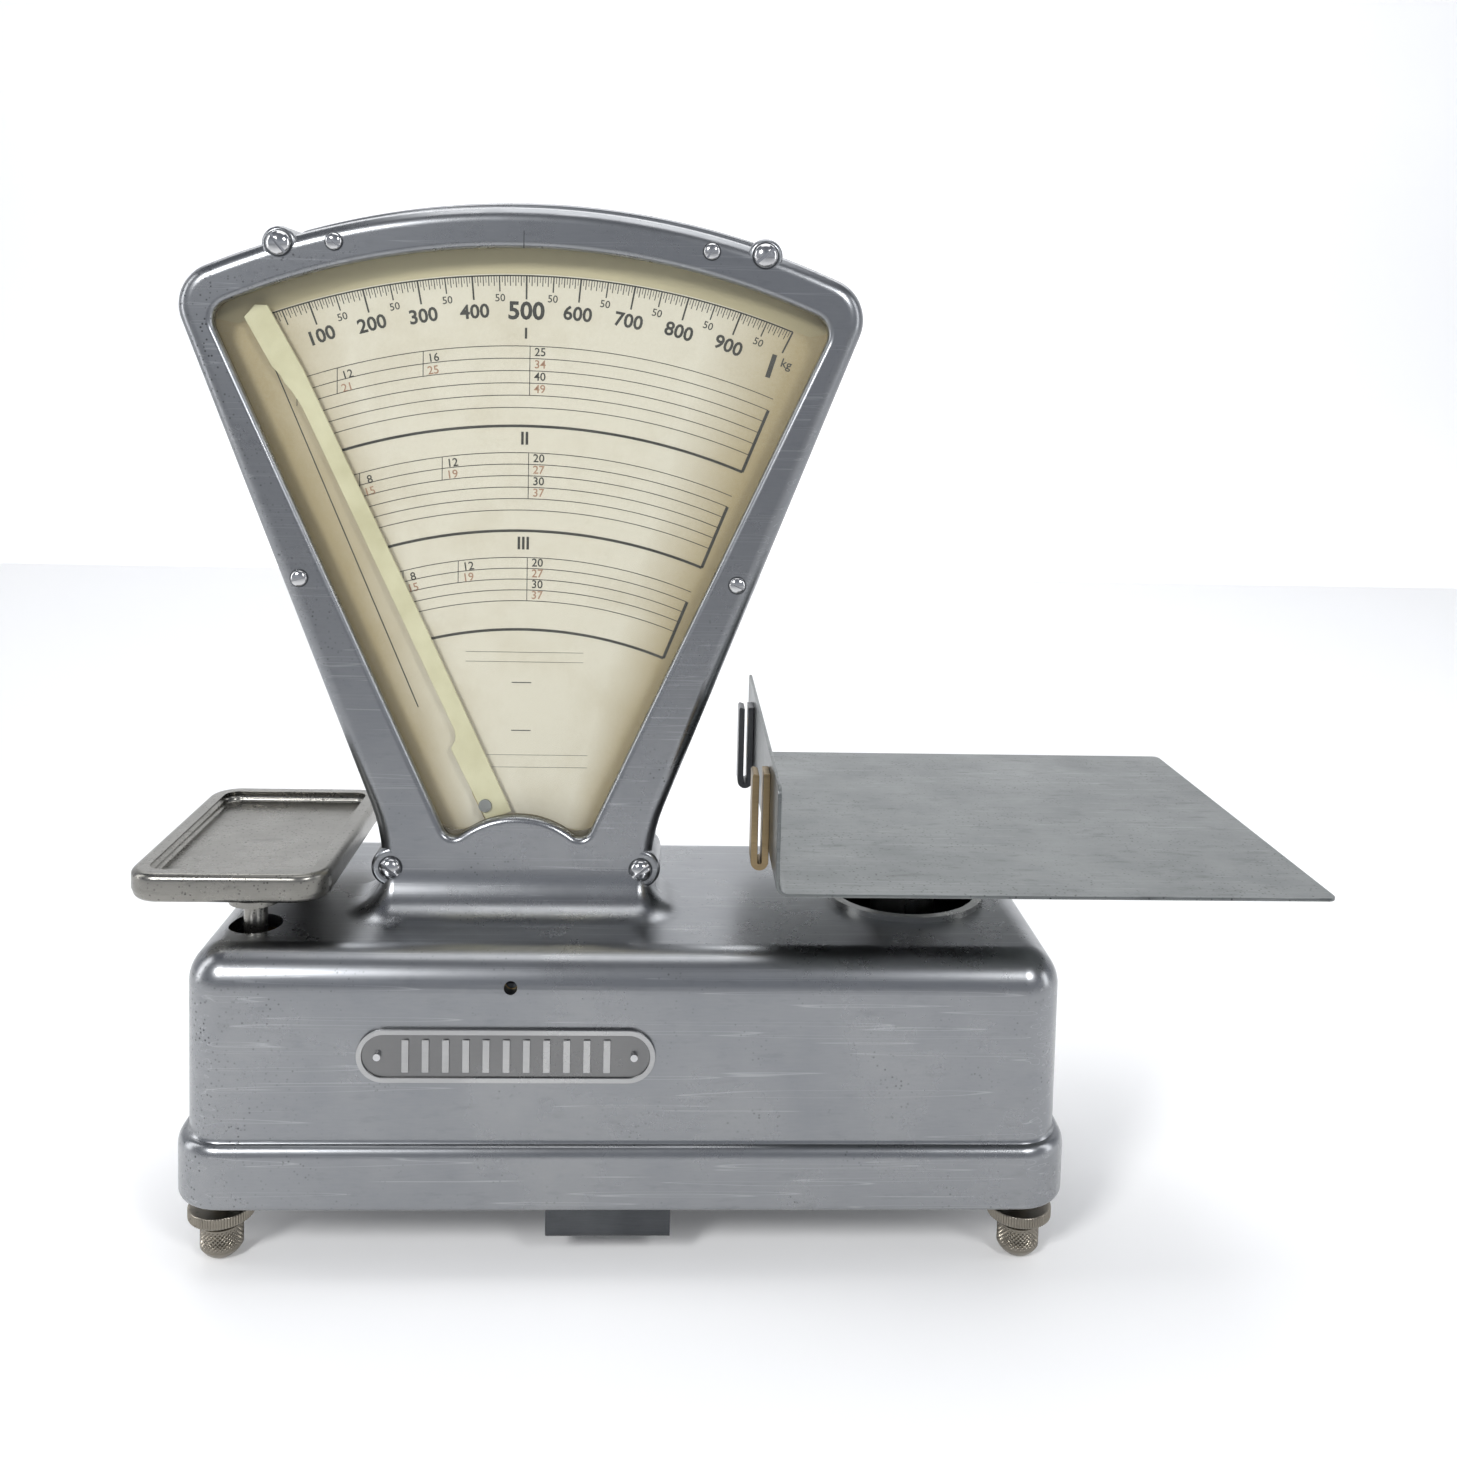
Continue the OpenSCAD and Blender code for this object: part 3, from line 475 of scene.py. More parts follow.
# the look of each material slot
LOOKS = {
    "cast_aluminium": metal(
        "polished_casting", (0.245, 0.254, 0.268), (0.30, 0.306, 0.313), (0.24, 0.32),
        brush=(1, 9, 9), brush_depth=0.0003, pits=0.3, pit_scale=560, stain=0.2, scratches=0.5,
        worn_end=((-180, 0.9), (-160, 0.35), (-120, 0.0))),
    "turned_aluminium": metal(
        "turned_aluminium", (0.42, 0.42, 0.405), (0.56, 0.56, 0.54), (0.2, 0.34), brush=(1, 1, 12)),
    "nickel": metal(
        "worn_nickel", (0.195, 0.19, 0.172), (0.28, 0.272, 0.25), (0.22, 0.36),
        brush_depth=0.002, pits=1.1, pit_scale=600, stain=0.4),
    "tray_sheet": metal(
        "scratched_sheet", (0.155, 0.165, 0.165), (0.215, 0.226, 0.222), (0.28, 0.42),
        brush=(1, 5, 1), brush_depth=0.001, pits=0.9, pit_scale=560, stain=0.65, scratches=0.5),
    "screw_steel": metal(
        "bright_screw", (0.45, 0.45, 0.46), (0.62, 0.62, 0.62), (0.1, 0.22), brush_depth=0.001),
    "steel": metal("satin_steel", (0.26, 0.26, 0.27), (0.38, 0.38, 0.39), (0.3, 0.45)),
    "dark_steel": metal(
        "blackened_steel", (0.06, 0.063, 0.068), (0.105, 0.11, 0.115), (0.32, 0.5), pits=0.2),
    "brass": metal("dull_brass", (0.40, 0.29, 0.13), (0.55, 0.42, 0.2), (0.28, 0.42), stain=0.3),
    "worn_clip": metal(
        "tarnished_brass_clip", (0.22, 0.165, 0.095), (0.36, 0.27, 0.15), (0.3, 0.48), stain=0.5),
    "foot_metal": metal(
        "knurled_foot", (0.17, 0.152, 0.125), (0.31, 0.285, 0.24), (0.26, 0.42), pits=0.5, stain=0.4),
    "iron": metal("black_iron", (0.05, 0.05, 0.05), (0.1, 0.1, 0.1), (0.5, 0.7), brush_depth=0.03),
    "badge_metal": metal(
        "relief_metal", (0.38, 0.38, 0.38), (0.48, 0.48, 0.475), (0.22, 0.36), brush_depth=0.002,
        recess=((BADGE_HIGH[1] - 1.2, 0.0), (BADGE_HIGH[1] - 0.8, 0.75))),
    "chart": paper("chart_cream", (0.72, 0.66, 0.575), (0.42, 0.33, 0.195), 0.66),
    "ivory": coated("aged_ivory", (0.56, 0.51, 0.34), (0.70, 0.65, 0.47), 0.38),
    "retainer": coated("retainer_paint", (0.10, 0.085, 0.06), (0.17, 0.14, 0.1), 0.55),
    "glass": pane("window_pane")}
CLIP_STEEL = metal("dark_clip", (0.07, 0.073, 0.078), (0.14, 0.143, 0.148), (0.3, 0.45))
# darker tan of the chart's margin: partly the aged paper's own colour, partly painted shade under the bezel
CHART_MARGIN = paper("chart_tan", (0.55, 0.48, 0.33), (0.44, 0.37, 0.24), 0.5)
INK = coated("black_ink", (0.035, 0.033, 0.03), (0.07, 0.065, 0.06), 0.6)
RED_INK = coated("faded_red_ink", (0.36, 0.20, 0.13), (0.46, 0.28, 0.2), 0.6)


# ---- casing ----

def meet_circle(start, direction, radius):
    """Point where the line from a start along a unit direction meets a circle round (0, 0)."""
    along = start @ direction
    return start + (math.sqrt(along ** 2 - start @ start + radius ** 2) - along) * direction


def with_mirror(right):
    """Whole outline from its right half, which runs from the bottom to the top."""
    points, normals = right
    return join_outline([right, (points[::-1] * [-1, 1], normals[::-1] * [-1, 1])])


def head_outline():
    """Outline of the head from the front, x from its centre line: slanted sides, round corners, top arc."""
    corner_r, neck_r = 15, 60
    tilt = math.atan(SLOPE)
    side = np.array([math.sin(tilt), math.cos(tilt)])
    inward = np.array([-side[1], side[0]])
    centre = np.array([0, ARC_Z])
    start = np.array([NECK, NECK_TOP]) + corner_r * inward - centre
    cx, cz = centre + meet_circle(start, side, HEAD_R - corner_r)
    top_angle = math.degrees(math.atan2(cz - ARC_Z, cx))
    lean = math.degrees(tilt)
    return with_mirror(join_outline([
        (np.array([[NECK, BASE_TOP - 3]]), np.array([[1.0, 0.0]])),
        arc_points(NECK + neck_r, NECK_TOP - neck_r * math.tan(tilt / 2), neck_r, 180, 180 - lean, 6),
        arc_points(cx, cz, corner_r, -lean, top_angle, 14),
        arc_points(0, ARC_Z, HEAD_R, top_angle + 0.6, 89, 20)]))


def window_outline():
    """Outline of the sight opening, with its two low lobes and the bump between them."""
    arc_r, arc_z, corner_r = 258.3, 85.4, 7
    lobe_r, lobe_drop = 4.2, 2.0
    bump_r, bump_z = 32, 111.5
    rise = np.array([WINDOW_SLOPE, 1.0])
    side = rise / np.linalg.norm(rise)
    inward = np.array([-side[1], side[0]])
    foot = np.array([30.6, 145.0])
    centre = np.array([0, arc_z])
    cx, cz = centre + meet_circle(foot + corner_r * inward - centre, side, arc_r - corner_r)
    lean = math.degrees(math.atan2(side[0], side[1]))
    top_angle = math.degrees(math.atan2(cz - arc_z, cx))
    lobe = foot + lobe_r * inward - lobe_drop * side
    scale = (bump_r + lobe_r) / math.hypot(lobe[0], lobe[1] - bump_z)
    lobe = np.array([lobe[0] * scale, bump_z + (lobe[1] - bump_z) * scale])
    meet = math.degrees(math.atan2(lobe[1] - bump_z, lobe[0]))
    return with_mirror(join_outline([
        arc_points(0, bump_z, bump_r, 90, meet + 2, 10),
        arc_points(lobe[0], lobe[1], lobe_r, meet - 180 + 4, -lean, 9),
        arc_points(cx, cz, corner_r, -lean, top_angle, 9),
        arc_points(0, arc_z, arc_r, top_angle + 0.6, 89, 20)]))


def head_solid(name, y_edge, y_face, r):
    """Half of the head's body from its parting face to its rounded outer face."""
    outline = head_outline()
    sign = 1 if y_face > y_edge else -1
    rings = [(0, y_edge)] + [(d, y_face - sign * z) for d, z in quarter(r, 9)]
    return loft(name, [[(HEAD_X + x, y, z) for x, z in inset(outline, d)] for d, y in rings])


def flat_cut(name, outline, y0, y1):
    """Straight solid with an outline measured from the head's centre line."""
    return loft(name, [[(HEAD_X + x, y, z) for x, z in outline] for y in (y0, y1)])


def lug(x, z, r, y_back, y_face):
    """Round boss for a screw, with a rounded rim on its face."""
    rim_r = 1.6
    sign = 1 if y_face > y_back else -1
    rows = [(r, y_back)] + [(r - d, y_face - sign * drop) for d, drop in quarter(rim_r, 5)]
    return loft("lug", [[(HEAD_X + x + k * c, y, z + k * s) for c, s in circle(40)] for k, y in rows])


def screw_lugs(lower_r, y_back, y_face):
    """Bosses of the four large screws on one half of the head."""
    return [lug(s * x, z, r, y_back, y_face)
            for (x, z), r in ((UPPER_SCREW, 6), (LOWER_SCREW, lower_r)) for s in (-1, 1)]


def foot_fillet(front_r, side_r, corner):
    """Concave sweep from the foot of the head into the base's top, round its front and sides."""
    path = []
    for sx, angles in ((-1, np.linspace(180, 270, 9)), (1, np.linspace(270, 360, 9))):
        for a in np.radians(angles):
            n = np.array([math.cos(a), math.sin(a)])
            share = n[1] ** 2
            path.append((np.array([sx * (NECK - corner), HEAD_FRONT + corner]) + corner * n, n,
                         front_r * share + side_r * (1 - share)))
    first, last = path[0], path[-1]
    path.insert(0, (first[0] * [1, 0] + [0, HEAD_SPLIT], first[1], first[2]))
    path.append((last[0] * [1, 0] + [0, HEAD_SPLIT], last[1], last[2]))
    embed = 2.0
    rings = []
    for p, n, r in path:
        section = [(-embed, r)] + quarter(r, 12) + [(r, -embed), (-embed, -embed)]
        rings.append([(HEAD_X + p[0] + n[0] * out, p[1] + n[1] * out, BASE_TOP + up) for out, up in section])
    return loft("fillet", rings)


def base_solid():
    """Base body with its skirt: a rounded foot, a rounded step and a broad rounded top edge."""
    outline = round_rect(BASE_W, BASE_D, 14, 12)
    foot_r, step_r, step_squeeze, top_r = 2.2, 4.8, 0.62, 12.5
    step_z = BASE_BOTTOM + SKIRT_H
    step_face = step_z - 0.6
    profile = [(d - SKIRT_OUT, BASE_BOTTOM + z) for d, z in reversed(quarter(foot_r, 6))]
    profile += [(d * step_squeeze - SKIRT_OUT, step_face - z) for d, z in quarter(step_r, 7)]
    profile += [(-0.25, step_z), (0.0, step_z + 0.9), (0.0, BASE_TOP - top_r - 1)]
    profile += [(d, BASE_TOP - z) for d, z in quarter(top_r, 14)]
    return loft("base", [[(BASE_X + x, y, z) for x, y in inset(outline, d)] for d, z in profile])


def window_cutter():
    """Cutter of the sight opening with a rounded front edge."""
    outline = window_outline()
    r = 2.3
    rows = [(-r, HEAD_FRONT - 1)]
    rows += [(-drop, HEAD_FRONT + step) for step, drop in quarter(r, 7)]
    rows.append((0, HEAD_FRONT + 4))
    return loft("window", [[(HEAD_X + x, y, z) for x, z in inset(outline, d)] for d, y in rows])


def make_body_casting():
    """Base and front half of the head in one casting, hollow, with the holes that pieces pass through."""
    stem_y, stem_hole_r, post_hole_r, tool_hole_r = 34, 9, 28, 2.2
    below, above = BASE_TOP - 10, BASE_TOP + 3
    case = base_solid()
    added = [head_solid("head", HEAD_SPLIT, HEAD_FRONT, 5.5), foot_fillet(16, 13, 5.5)]
    boolean(case, added + screw_lugs(7, HEAD_SPLIT, HEAD_FRONT), "UNION")
    cuts = [rounded_solid("hollow", round_rect(BASE_W - 2 * WALL, BASE_D - 2 * WALL, 10),
                          BASE_BOTTOM - 5, BASE_TOP - WALL, 0.5, 4, (BASE_X, 0))]
    hollow = inset(head_outline(), HEAD_WALL)
    hollow[:, 1] = np.maximum(hollow[:, 1], BASE_TOP)
    cuts.append(flat_cut("head_hollow", hollow, HEAD_FRONT + 3, HEAD_SPLIT + 1))
    cuts.append(window_cutter())
    cuts += [cylinder("hole", STEM_X, s * stem_y, below, above, stem_hole_r) for s in (-1, 1)]
    cuts.append(cylinder("hole", POST_X, 0, below, above, post_hole_r, 96))
    tool_hole = [(tool_hole_r, 5), (tool_hole_r, -10)]
    cuts.append(revolve_y("hole", tool_hole, (HEAD_X + 3, -BASE_D / 2, 99), 48))
    way = [(-20, HEAD_FRONT + 3), (16, HEAD_FRONT + 3), (16, 20), (-20, 20)]
    cuts.append(loft("way", [[(HEAD_X + x, y, z) for x, y in way]
                             for z in (BASE_TOP - WALL - 1, BASE_TOP + 0.5)]))
    boolean(case, cuts, "DIFFERENCE")
    case.name = "casting_front"
    smooth(case, 38)
    finish_piece(case, "case", "cast_aluminium", ["body_casting"])


def make_rear_cover():
    """Rear half of the head, with the bead along its top that shows above the front half."""
    face = HEAD_SPLIT + PARTING_GAP
    bead_half = 17.1
    arcs = [(HEAD_R + 3.9, np.linspace(-bead_half, bead_half, 40)),
            (HEAD_R - 3, np.linspace(bead_half, -bead_half, 40))]
    cover = head_solid("cover", face, HEAD_REAR, 6)
    bead = extrude_y("bead", [(HEAD_X + r * math.sin(a), ARC_Z + r * math.cos(a))
                              for r, angles in arcs for a in np.radians(angles)], face, HEAD_REAR)
    bevel(bead, 1.5, 3)
    boolean(cover, [bead] + screw_lugs(5, face, HEAD_REAR), "UNION")
    below = block("below", HEAD_X, BASE_TOP + 0.1, BASE_TOP - 20, 200, HEAD_SPLIT - 5, HEAD_REAR + 5)
    hollow = flat_cut("hollow", inset(head_outline(), HEAD_WALL), HEAD_SPLIT - 1, HEAD_REAR - 3)
    boolean(cover, [hollow, below], "DIFFERENCE")
    cover.name = "casting_rear_cover"
    smooth(cover, 38)
    finish_piece(cover, "case", "cast_aluminium", ["head_rear_cover"])


def slotted_head(x, z, r, height, slot_angle, slot):
    """Domed screw head on the head's front face with a cut slot."""
    rim = 0.5
    dome = [(0.001, -1.0), (r * 0.97, -1.0), (r * 0.97, 0.3), (r, rim)]
    dome += [(r * math.cos(a), rim + (height - rim) * math.sin(a))
             for a in np.linspace(0.12, math.pi / 2 - 0.02, 9)]
    head = revolve_y("screw", dome, (HEAD_X + x, HEAD_FRONT, z), 48)
    a = math.radians(slot_angle)
    u, v = np.array([math.cos(a), math.sin(a)]), np.array([-math.sin(a), math.cos(a)])
    corners = [s * u * r * 1.5 + t * v * slot / 2 for s, t in ((-1, -1), (1, -1), (1, 1), (-1, 1))]
    cut = loft("slot", [[(HEAD_X + x + c[0], y, z + c[1]) for c in corners]
                        for y in (HEAD_FRONT - height - 1, HEAD_FRONT - height * 0.42)])
    return boolean(head, [cut], "DIFFERENCE")


def make_screws():
    """Heads of the large and the small screws. The last values are the angles of the left and right slot."""
    large = ((UPPER_SCREW, UPPER_SCREW_R, 3.0, 1.1, (-52, 38)),
             (LOWER_SCREW, LOWER_SCREW_R, 3.0, 1.0, (-38, 40)))
    small = ((SMALL_TOP, SMALL_SCREW_R, 1.8, 0.7, (-40, 55)),
             (SMALL_MID, SMALL_SCREW_R, 1.8, 0.7, (20, -25)))
    for name, node, screws in (("case_screw_heads", "case_screws", large),
                               ("small_screw_heads", "retainer_screws", small)):
        heads = [slotted_head(s * x, z, r, height, angle, slot)
                 for (x, z), r, height, slot, angles in screws for s, angle in zip((-1, 1), angles)]
        finish_piece(smooth(join(name, heads), 40), "case", "screw_steel", [node])


def make_grime():
    """Dark rings of painted shade round the screw heads, standing in for the shadow in the gap round each
    head.
    """
    wide, narrow, embed, proud = 0.45, 0.35, 0.2, 0.03
    places = ((UPPER_SCREW, UPPER_SCREW_R, wide), (LOWER_SCREW, LOWER_SCREW_R, wide),
              (SMALL_TOP, SMALL_SCREW_R, narrow), (SMALL_MID, SMALL_SCREW_R, narrow))
    rings = [revolve_y("ring", [(r - 1.0, -proud), (r + w, -proud), (r + w, embed), (r - 1.0, embed)],
                       (HEAD_X + s * x, HEAD_FRONT, z), 40)
             for s in (-1, 1) for (x, z), r, w in places]
    finish_piece(join("screw_shade_rings", rings), "case", "dark_steel")


def make_centre_mark():
    """Scribed line at the top of the head's front face."""
    top, length, width = 349.5, 6, 0.3
    mark = block("centre_mark", HEAD_X, top - length, top, width, HEAD_FRONT - 0.03, HEAD_FRONT + 0.5)
    finish_piece(mark, "case", "dark_steel")


def make_badge():
    """Plain relief plate: round ends, a raised border and even ribs."""
    x0, z0 = middle("badge", 0), middle("badge", 2)
    half_l = (BADGE_HIGH[0] - BADGE_LOW[0]) / 2
    half_h = (BADGE_HIGH[2] - BADGE_LOW[2]) / 2
    back = BADGE_HIGH[1]
    sheet_t, relief_t = 0.7, 1.45

    def stadium(name, margin, y0, y1):
        outline = round_rect(2 * (half_l - margin), 2 * (half_h - margin), half_h - margin - 0.01, 12)[0]
        return loft(name, [[(x0 + x, back - y, z0 + z) for x, z in outline] for y in (y0, y1)])

    border = boolean(stadium("border", 0, 0.4, relief_t), [stadium("inner", 1.8, 0, 3)], "DIFFERENCE")
    pieces = [stadium("sheet", 0.05, 0, sheet_t), bevel(border, 0.3)]
    rib_w, pitch, count = 2.4, 6.6, 11
    rib_h = half_h - 3.4
    for k in range(count):
        x = x0 + (k - (count - 1) / 2) * pitch
        rib = block("rib", x, z0 - rib_h, z0 + rib_h, rib_w, back - 1.25, back - 0.5)
        pieces.append(bevel(rib, 0.3))
    finish_piece(smooth(join("relief_badge", pieces), 30), "case", "badge_metal", ["badge"])


# ---- window, chart and pointer ----

# the graduation's radius, the height of the centre of all printed circles, and the angle of 100 g
GRAD_R = 264
GRAD_Z = 70.8
STEP_100 = math.radians(5.12)

# lines of the graduation: step in grams, length and width, from the widest step down
TICKS = ((100, 8.3, 0.6), (50, 5.6, 0.46), (10, 3.6, 0.3), (5, 2.4, 0.22))

# printed tables: top circle, pitch, number of circles, thick circle, places of the columns, rows of figures
LOWER_ROWS = (("8", "12", "20"), ("15", "19", "27"), ("", "", "30"), ("", "", "37"))
UPPER_ROWS = (("8", "12", "16", "25"), ("12", "21", "25", "34"), ("", "", "", "40"), ("", "", "", "49"))
TABLES = ((239.3, 4.35, 6, 211.0, (-80, -66, -36, 1.5), UPPER_ROWS),
          (201.5, 4.1, 6, 173.6, (-58, -29, 1.5), LOWER_ROWS),
          (164.0, 3.9, 5, 138.0, (-42.5, -23, 1.5), LOWER_ROWS))


def chart_point(angle, radius):
    """Point on a chart circle seen from the arbor at an angle; the circles' centre lies below the arbor."""
    rise = ARBOR_Z - GRAD_Z
    along = -rise * math.cos(angle) + math.sqrt(radius ** 2 - (rise * math.sin(angle)) ** 2)
    return HEAD_X + along * math.sin(angle), ARBOR_Z + along * math.cos(angle)


def on_circle(radius, angle):
    """Point on a printed circle, at an angle seen from its own centre."""
    return HEAD_X + radius * math.sin(angle), GRAD_Z + radius * math.cos(angle)


def circle_height(x, radius):
    """Height of a printed circle at a distance from the head's centre line."""
    return GRAD_Z + math.sqrt(radius ** 2 - x ** 2)


def gram_angle(grams):
    """Angle of a load on the graduation, seen from the arbor."""
    return (grams - 500) / 100 * STEP_100


def from_arbor(x, z):
    """Point of the pointer in its own frame, turned to the pointer's place at no load."""
    c, s = math.cos(ZERO_ANGLE), math.sin(ZERO_ANGLE)
    return HEAD_X + x * c - z * s, ARBOR_Z + x * s + z * c


def behind_pointer(radius):
    """Angle at which a printed circle passes under the middle of the pointer at no load."""
    middle = 5.0
    start = np.array(from_arbor(middle, 0)) - [HEAD_X, GRAD_Z]
    end = meet_circle(start, np.array([-math.sin(ZERO_ANGLE), math.cos(ZERO_ANGLE)]), radius)
    return math.atan2(end[0], end[1])


class Ink:
    """Collects thin printed shapes into one mesh."""

    def __init__(self, y_back, thickness):
        self.verts, self.faces = [], []
        self.back, self.front = y_back, y_back - thickness

    def prism(self, points):
        """Flat shape with an outline in X and Z."""
        self.faces += loft_faces(len(points), 2, len(self.verts))
        self.verts += [(x, y, z) for y in (self.back, self.front) for x, z in points]

    def line(self, a, b, width):
        """Straight line between two points."""
        a, b = np.array(a), np.array(b)
        side = (b - a) / np.linalg.norm(b - a)
        side = np.array([-side[1], side[0]]) * width / 2
        self.prism([a + side, a - side, b - side, b + side])

    def arc(self, radius, a0, a1, width, pieces=40):
        """Part of a printed circle between two angles."""
        angles = np.linspace(a0, a1, pieces + 1)
        outer = [on_circle(radius + width / 2, a) for a in angles]
        inner = [on_circle(radius - width / 2, a) for a in angles]
        self.prism(outer + inner[::-1])

    def text(self, words, place, height, lean=0.0, weight=0.0):
        """Numerals as flat shapes, centred on a place."""
        font_share = 0.73  # a numeral's height over the font's size
        curve = bpy.data.curves.new("numerals", "FONT")
        curve.body = words
        curve.size = height / font_share
        curve.align_x, curve.align_y = "CENTER", "CENTER"
        curve.offset = weight
        curve.extrude = abs(self.front - self.back) / 2
        curve.resolution_u = 3
        holder = add_object("numerals", curve)
        mesh = bpy.data.meshes.new_from_object(holder.evaluated_get(bpy.context.evaluated_depsgraph_get()))
        clean = bmesh.new()
        clean.from_mesh(mesh)
        bmesh.ops.remove_doubles(clean, verts=clean.verts, dist=1e-4)
        base = len(self.verts)
        middle = (self.front + self.back) / 2
        c, s = math.cos(lean), math.sin(lean)
        self.verts += [(place[0] + v.co.x * c + v.co.y * s, middle - v.co.z,
                        place[1] - v.co.x * s + v.co.y * c) for v in clean.verts]
        clean.verts.index_update()
        self.faces += [[base + v.index for v in f.verts] for f in clean.faces]
        clean.free()
        bpy.data.objects.remove(holder)

    def make(self, name, material):
        """The collected shapes as one piece."""
        finish_piece(new_object(name, self.verts, self.faces), "case", "chart", material=material)


def print_graduation(black):
    """Lines every 5 g up to 1 kg, the arc along their tops, and the numbers."""
    for grams in range(0, 1001, 5):
        a = gram_angle(grams)
        length, width = next(tick[1:] for tick in TICKS if grams % tick[0] == 0)
        top = np.array(chart_point(a, GRAD_R))
        down = np.array([-math.sin(a), -math.cos(a)])
        black.line(top, top + down * length, width)
        if grams % 100 == 50 and grams > 100:
            black.text("50", top + down * 7.9, 2.7, a, 0.03)
        if grams % 100 == 0 and 0 < grams < 1000:
            height, weight = (6.3, 0.24) if grams == 500 else (5.0, 0.16)
            black.text(str(grams), top + down * 12.6, height, a, weight)
    full = gram_angle(1000)
    sweep = full - math.asin(math.sin(full) * (ARBOR_Z - GRAD_Z) / GRAD_R)
    black.arc(GRAD_R, -sweep, sweep, 0.5, 60)
    end = np.array(chart_point(full, GRAD_R - 14))
    black.text("1", end + [-1.5, 0], 8.5, 0.3, 0.3)
    black.text("kg", end + [4.0, 1.2], 3.2, 0.3, 0.05)


def print_table(black, red, top, pitch, count, thick, places, rows):
    """Thin circles, a thick one below them with a bar at its right end, and columns of figures."""
    right = math.radians(21.6)
    for k in range(count):
        black.arc(top - pitch * k, behind_pointer(top - pitch * k), right, 0.26)
    black.arc(thick, behind_pointer(thick), right, 0.95)
    black.line(on_circle(top - pitch, right), on_circle(thick, right), 1.1)
    for x, column in zip(places, zip(*rows)):
        filled = [k for k, figure in enumerate(column) if figure]
        low = top - pitch * (filled[-1] + 1)
        black.line((HEAD_X + x, circle_height(x, top)), (HEAD_X + x, circle_height(x, low)), 0.24)
        for k in filled:
            centre = top - pitch * (k + 0.5)
            place = (HEAD_X + x + 3.6, circle_height(x, centre))
            (red if k % 2 else black).text(column[k], place, 3.0, math.asin(x / centre), 0.04)


def print_rules(black):
    """Roman numerals over the tables, short rules below them, and the line left of the pointer."""
    for number, radius, height in (("I", 243.6, 3.8), ("II", 206.4, 4.6), ("III", 168.9, 4.6)):
        black.text(number, (HEAD_X, GRAD_Z + radius), height, 0, 0.14)
    for heights, left, right, width in (((189.5, 172.0), -3.5, 3.5, 0.35), ((200.5, 197.0), -20, 22, 0.14),
                                        ((163.0, 158.5), -12, 24, 0.12)):
        for z in heights:
            black.line((HEAD_X + left, z), (HEAD_X + right, z), width)
    black.line(from_arbor(-0.6, 214), from_arbor(-7.2, 70), 0.4)


def make_chart():
    """Chart plate in its margin's darker tan (partly the paper's own colour, partly painted shade under the
    bezel), the cream field on it, and black and red printing on the field.
    """
    margin = inset(head_outline(), 5.2)
    margin[:, 1] = np.maximum(margin[:, 1], 134.2)
    plate = flat_cut("chart_plate_sheet", margin, CHART_Y, CHART_Y + 0.95)
    finish_piece(plate, "case", "chart", ["chart_plate"], CHART_MARGIN)

    paper_t, ink_t = 0.12, 0.06
    half_top = math.radians(27.2)
    field = Ink(CHART_Y, paper_t)
    edge = [chart_point(a, GRAD_R + 0.6) for a in np.linspace(-half_top, half_top, 41)]
    right = [(112, 318), (31, 142), (29, 136)]
    field.prism(edge + [(HEAD_X + x, z) for x, z in right] + [(HEAD_X - x, z) for x, z in right[::-1]])
    field.make("chart_field", LOOKS["chart"])

    black = Ink(CHART_Y - paper_t, ink_t)
    red = Ink(CHART_Y - paper_t, ink_t)
    print_graduation(black)
    for table in TABLES:
        print_table(black, red, *table)
    print_rules(black)
    black.make("chart_ink", INK)
    red.make("chart_red_ink", RED_INK)


def make_pointer():
    """Blade of the pointer, drawn upright over the arbor: its right edge, its tip, then its left edge."""
    outline = [(-2, 22), (7.5, 22), (8.2, 100), (8.2, 196)]
    outline += [(6.6, 221.0), (2.6, 223), (-2.6, 220.5), (-1.2, 201)]
    outline += [(0.1 + 0.5 * t * t, 200 - 10 * t) for t in (0.3, 0.6)]
    outline += [(1.4, 190), (2.2, 184), (1.6, 57), (0.4, 54), (-2.4, 52)]
    placed = [from_arbor(x, z) for x, z in outline]
    blade = extrude_y("pointer_blade", placed, POINTER_LOW[1], POINTER_HIGH[1])
    smooth(bevel(blade, 0.3, 2, 30), 40)
    finish_piece(blade, "pointer_arbor", "ivory", ["pointer"])


# ---- pan, tray and clips ----

def make_pan():
    """Cast pan: a rounded foot, a thick rounded rim and a round corner round its floor."""
    w, d = PAN_HIGH[0] - PAN_LOW[0], PAN_HIGH[1] - PAN_LOW[1]
    x0, bottom, top = middle("weight_pan", 0), PAN_LOW[2], PAN_HIGH[2]
    corner_r = 11
    rim, foot_r, edge_r, inner_r, floor_r = 6.0, 2.6, 2.3, 1.6, 1.5
    profile = [(step + 0.4, bottom + z) for step, z in reversed(quarter(foot_r, 8))]
    profile += [(0.0, bottom + 3.4), (0.0, top - 3.0)]
    profile += [(step, top - z) for step, z in quarter(edge_r, 8)]
    profile += [(rim - inner_r * math.cos(a), top - inner_r + inner_r * math.sin(a))
                for a in np.linspace(math.pi / 2, 0.3, 5)]
    profile += [(rim + 0.1, top - 2.4)]
    profile += [(rim + inner_r - floor_r * math.cos(a), top - 2.5 - floor_r * math.sin(a))
                for a in np.linspace(0.2, math.pi / 2, 5)]
    outline = round_rect(w, d, corner_r, 12)
    pan = loft("cast_pan", [[(x0 + x, y, z) for x, y in inset(outline, min(step, corner_r - 0.4))]
                            for step, z in profile])
    smooth(pan, 50)
    finish_piece(pan, "pan_carrier", "nickel", ["weight_pan"])


def corner_cut(u, v, side_u, side_v, r):
    """Outline that rounds off the corner at (u, v), which points to the given sides."""
    curve = [(u - side_u * step, v - side_v * drop) for step, drop in quarter(r, 7)]
    beyond = (u + side_u, v + side_v)
    return curve + [(u - side_u * r, beyond[1]), beyond, (beyond[0], v - side_v * r)]


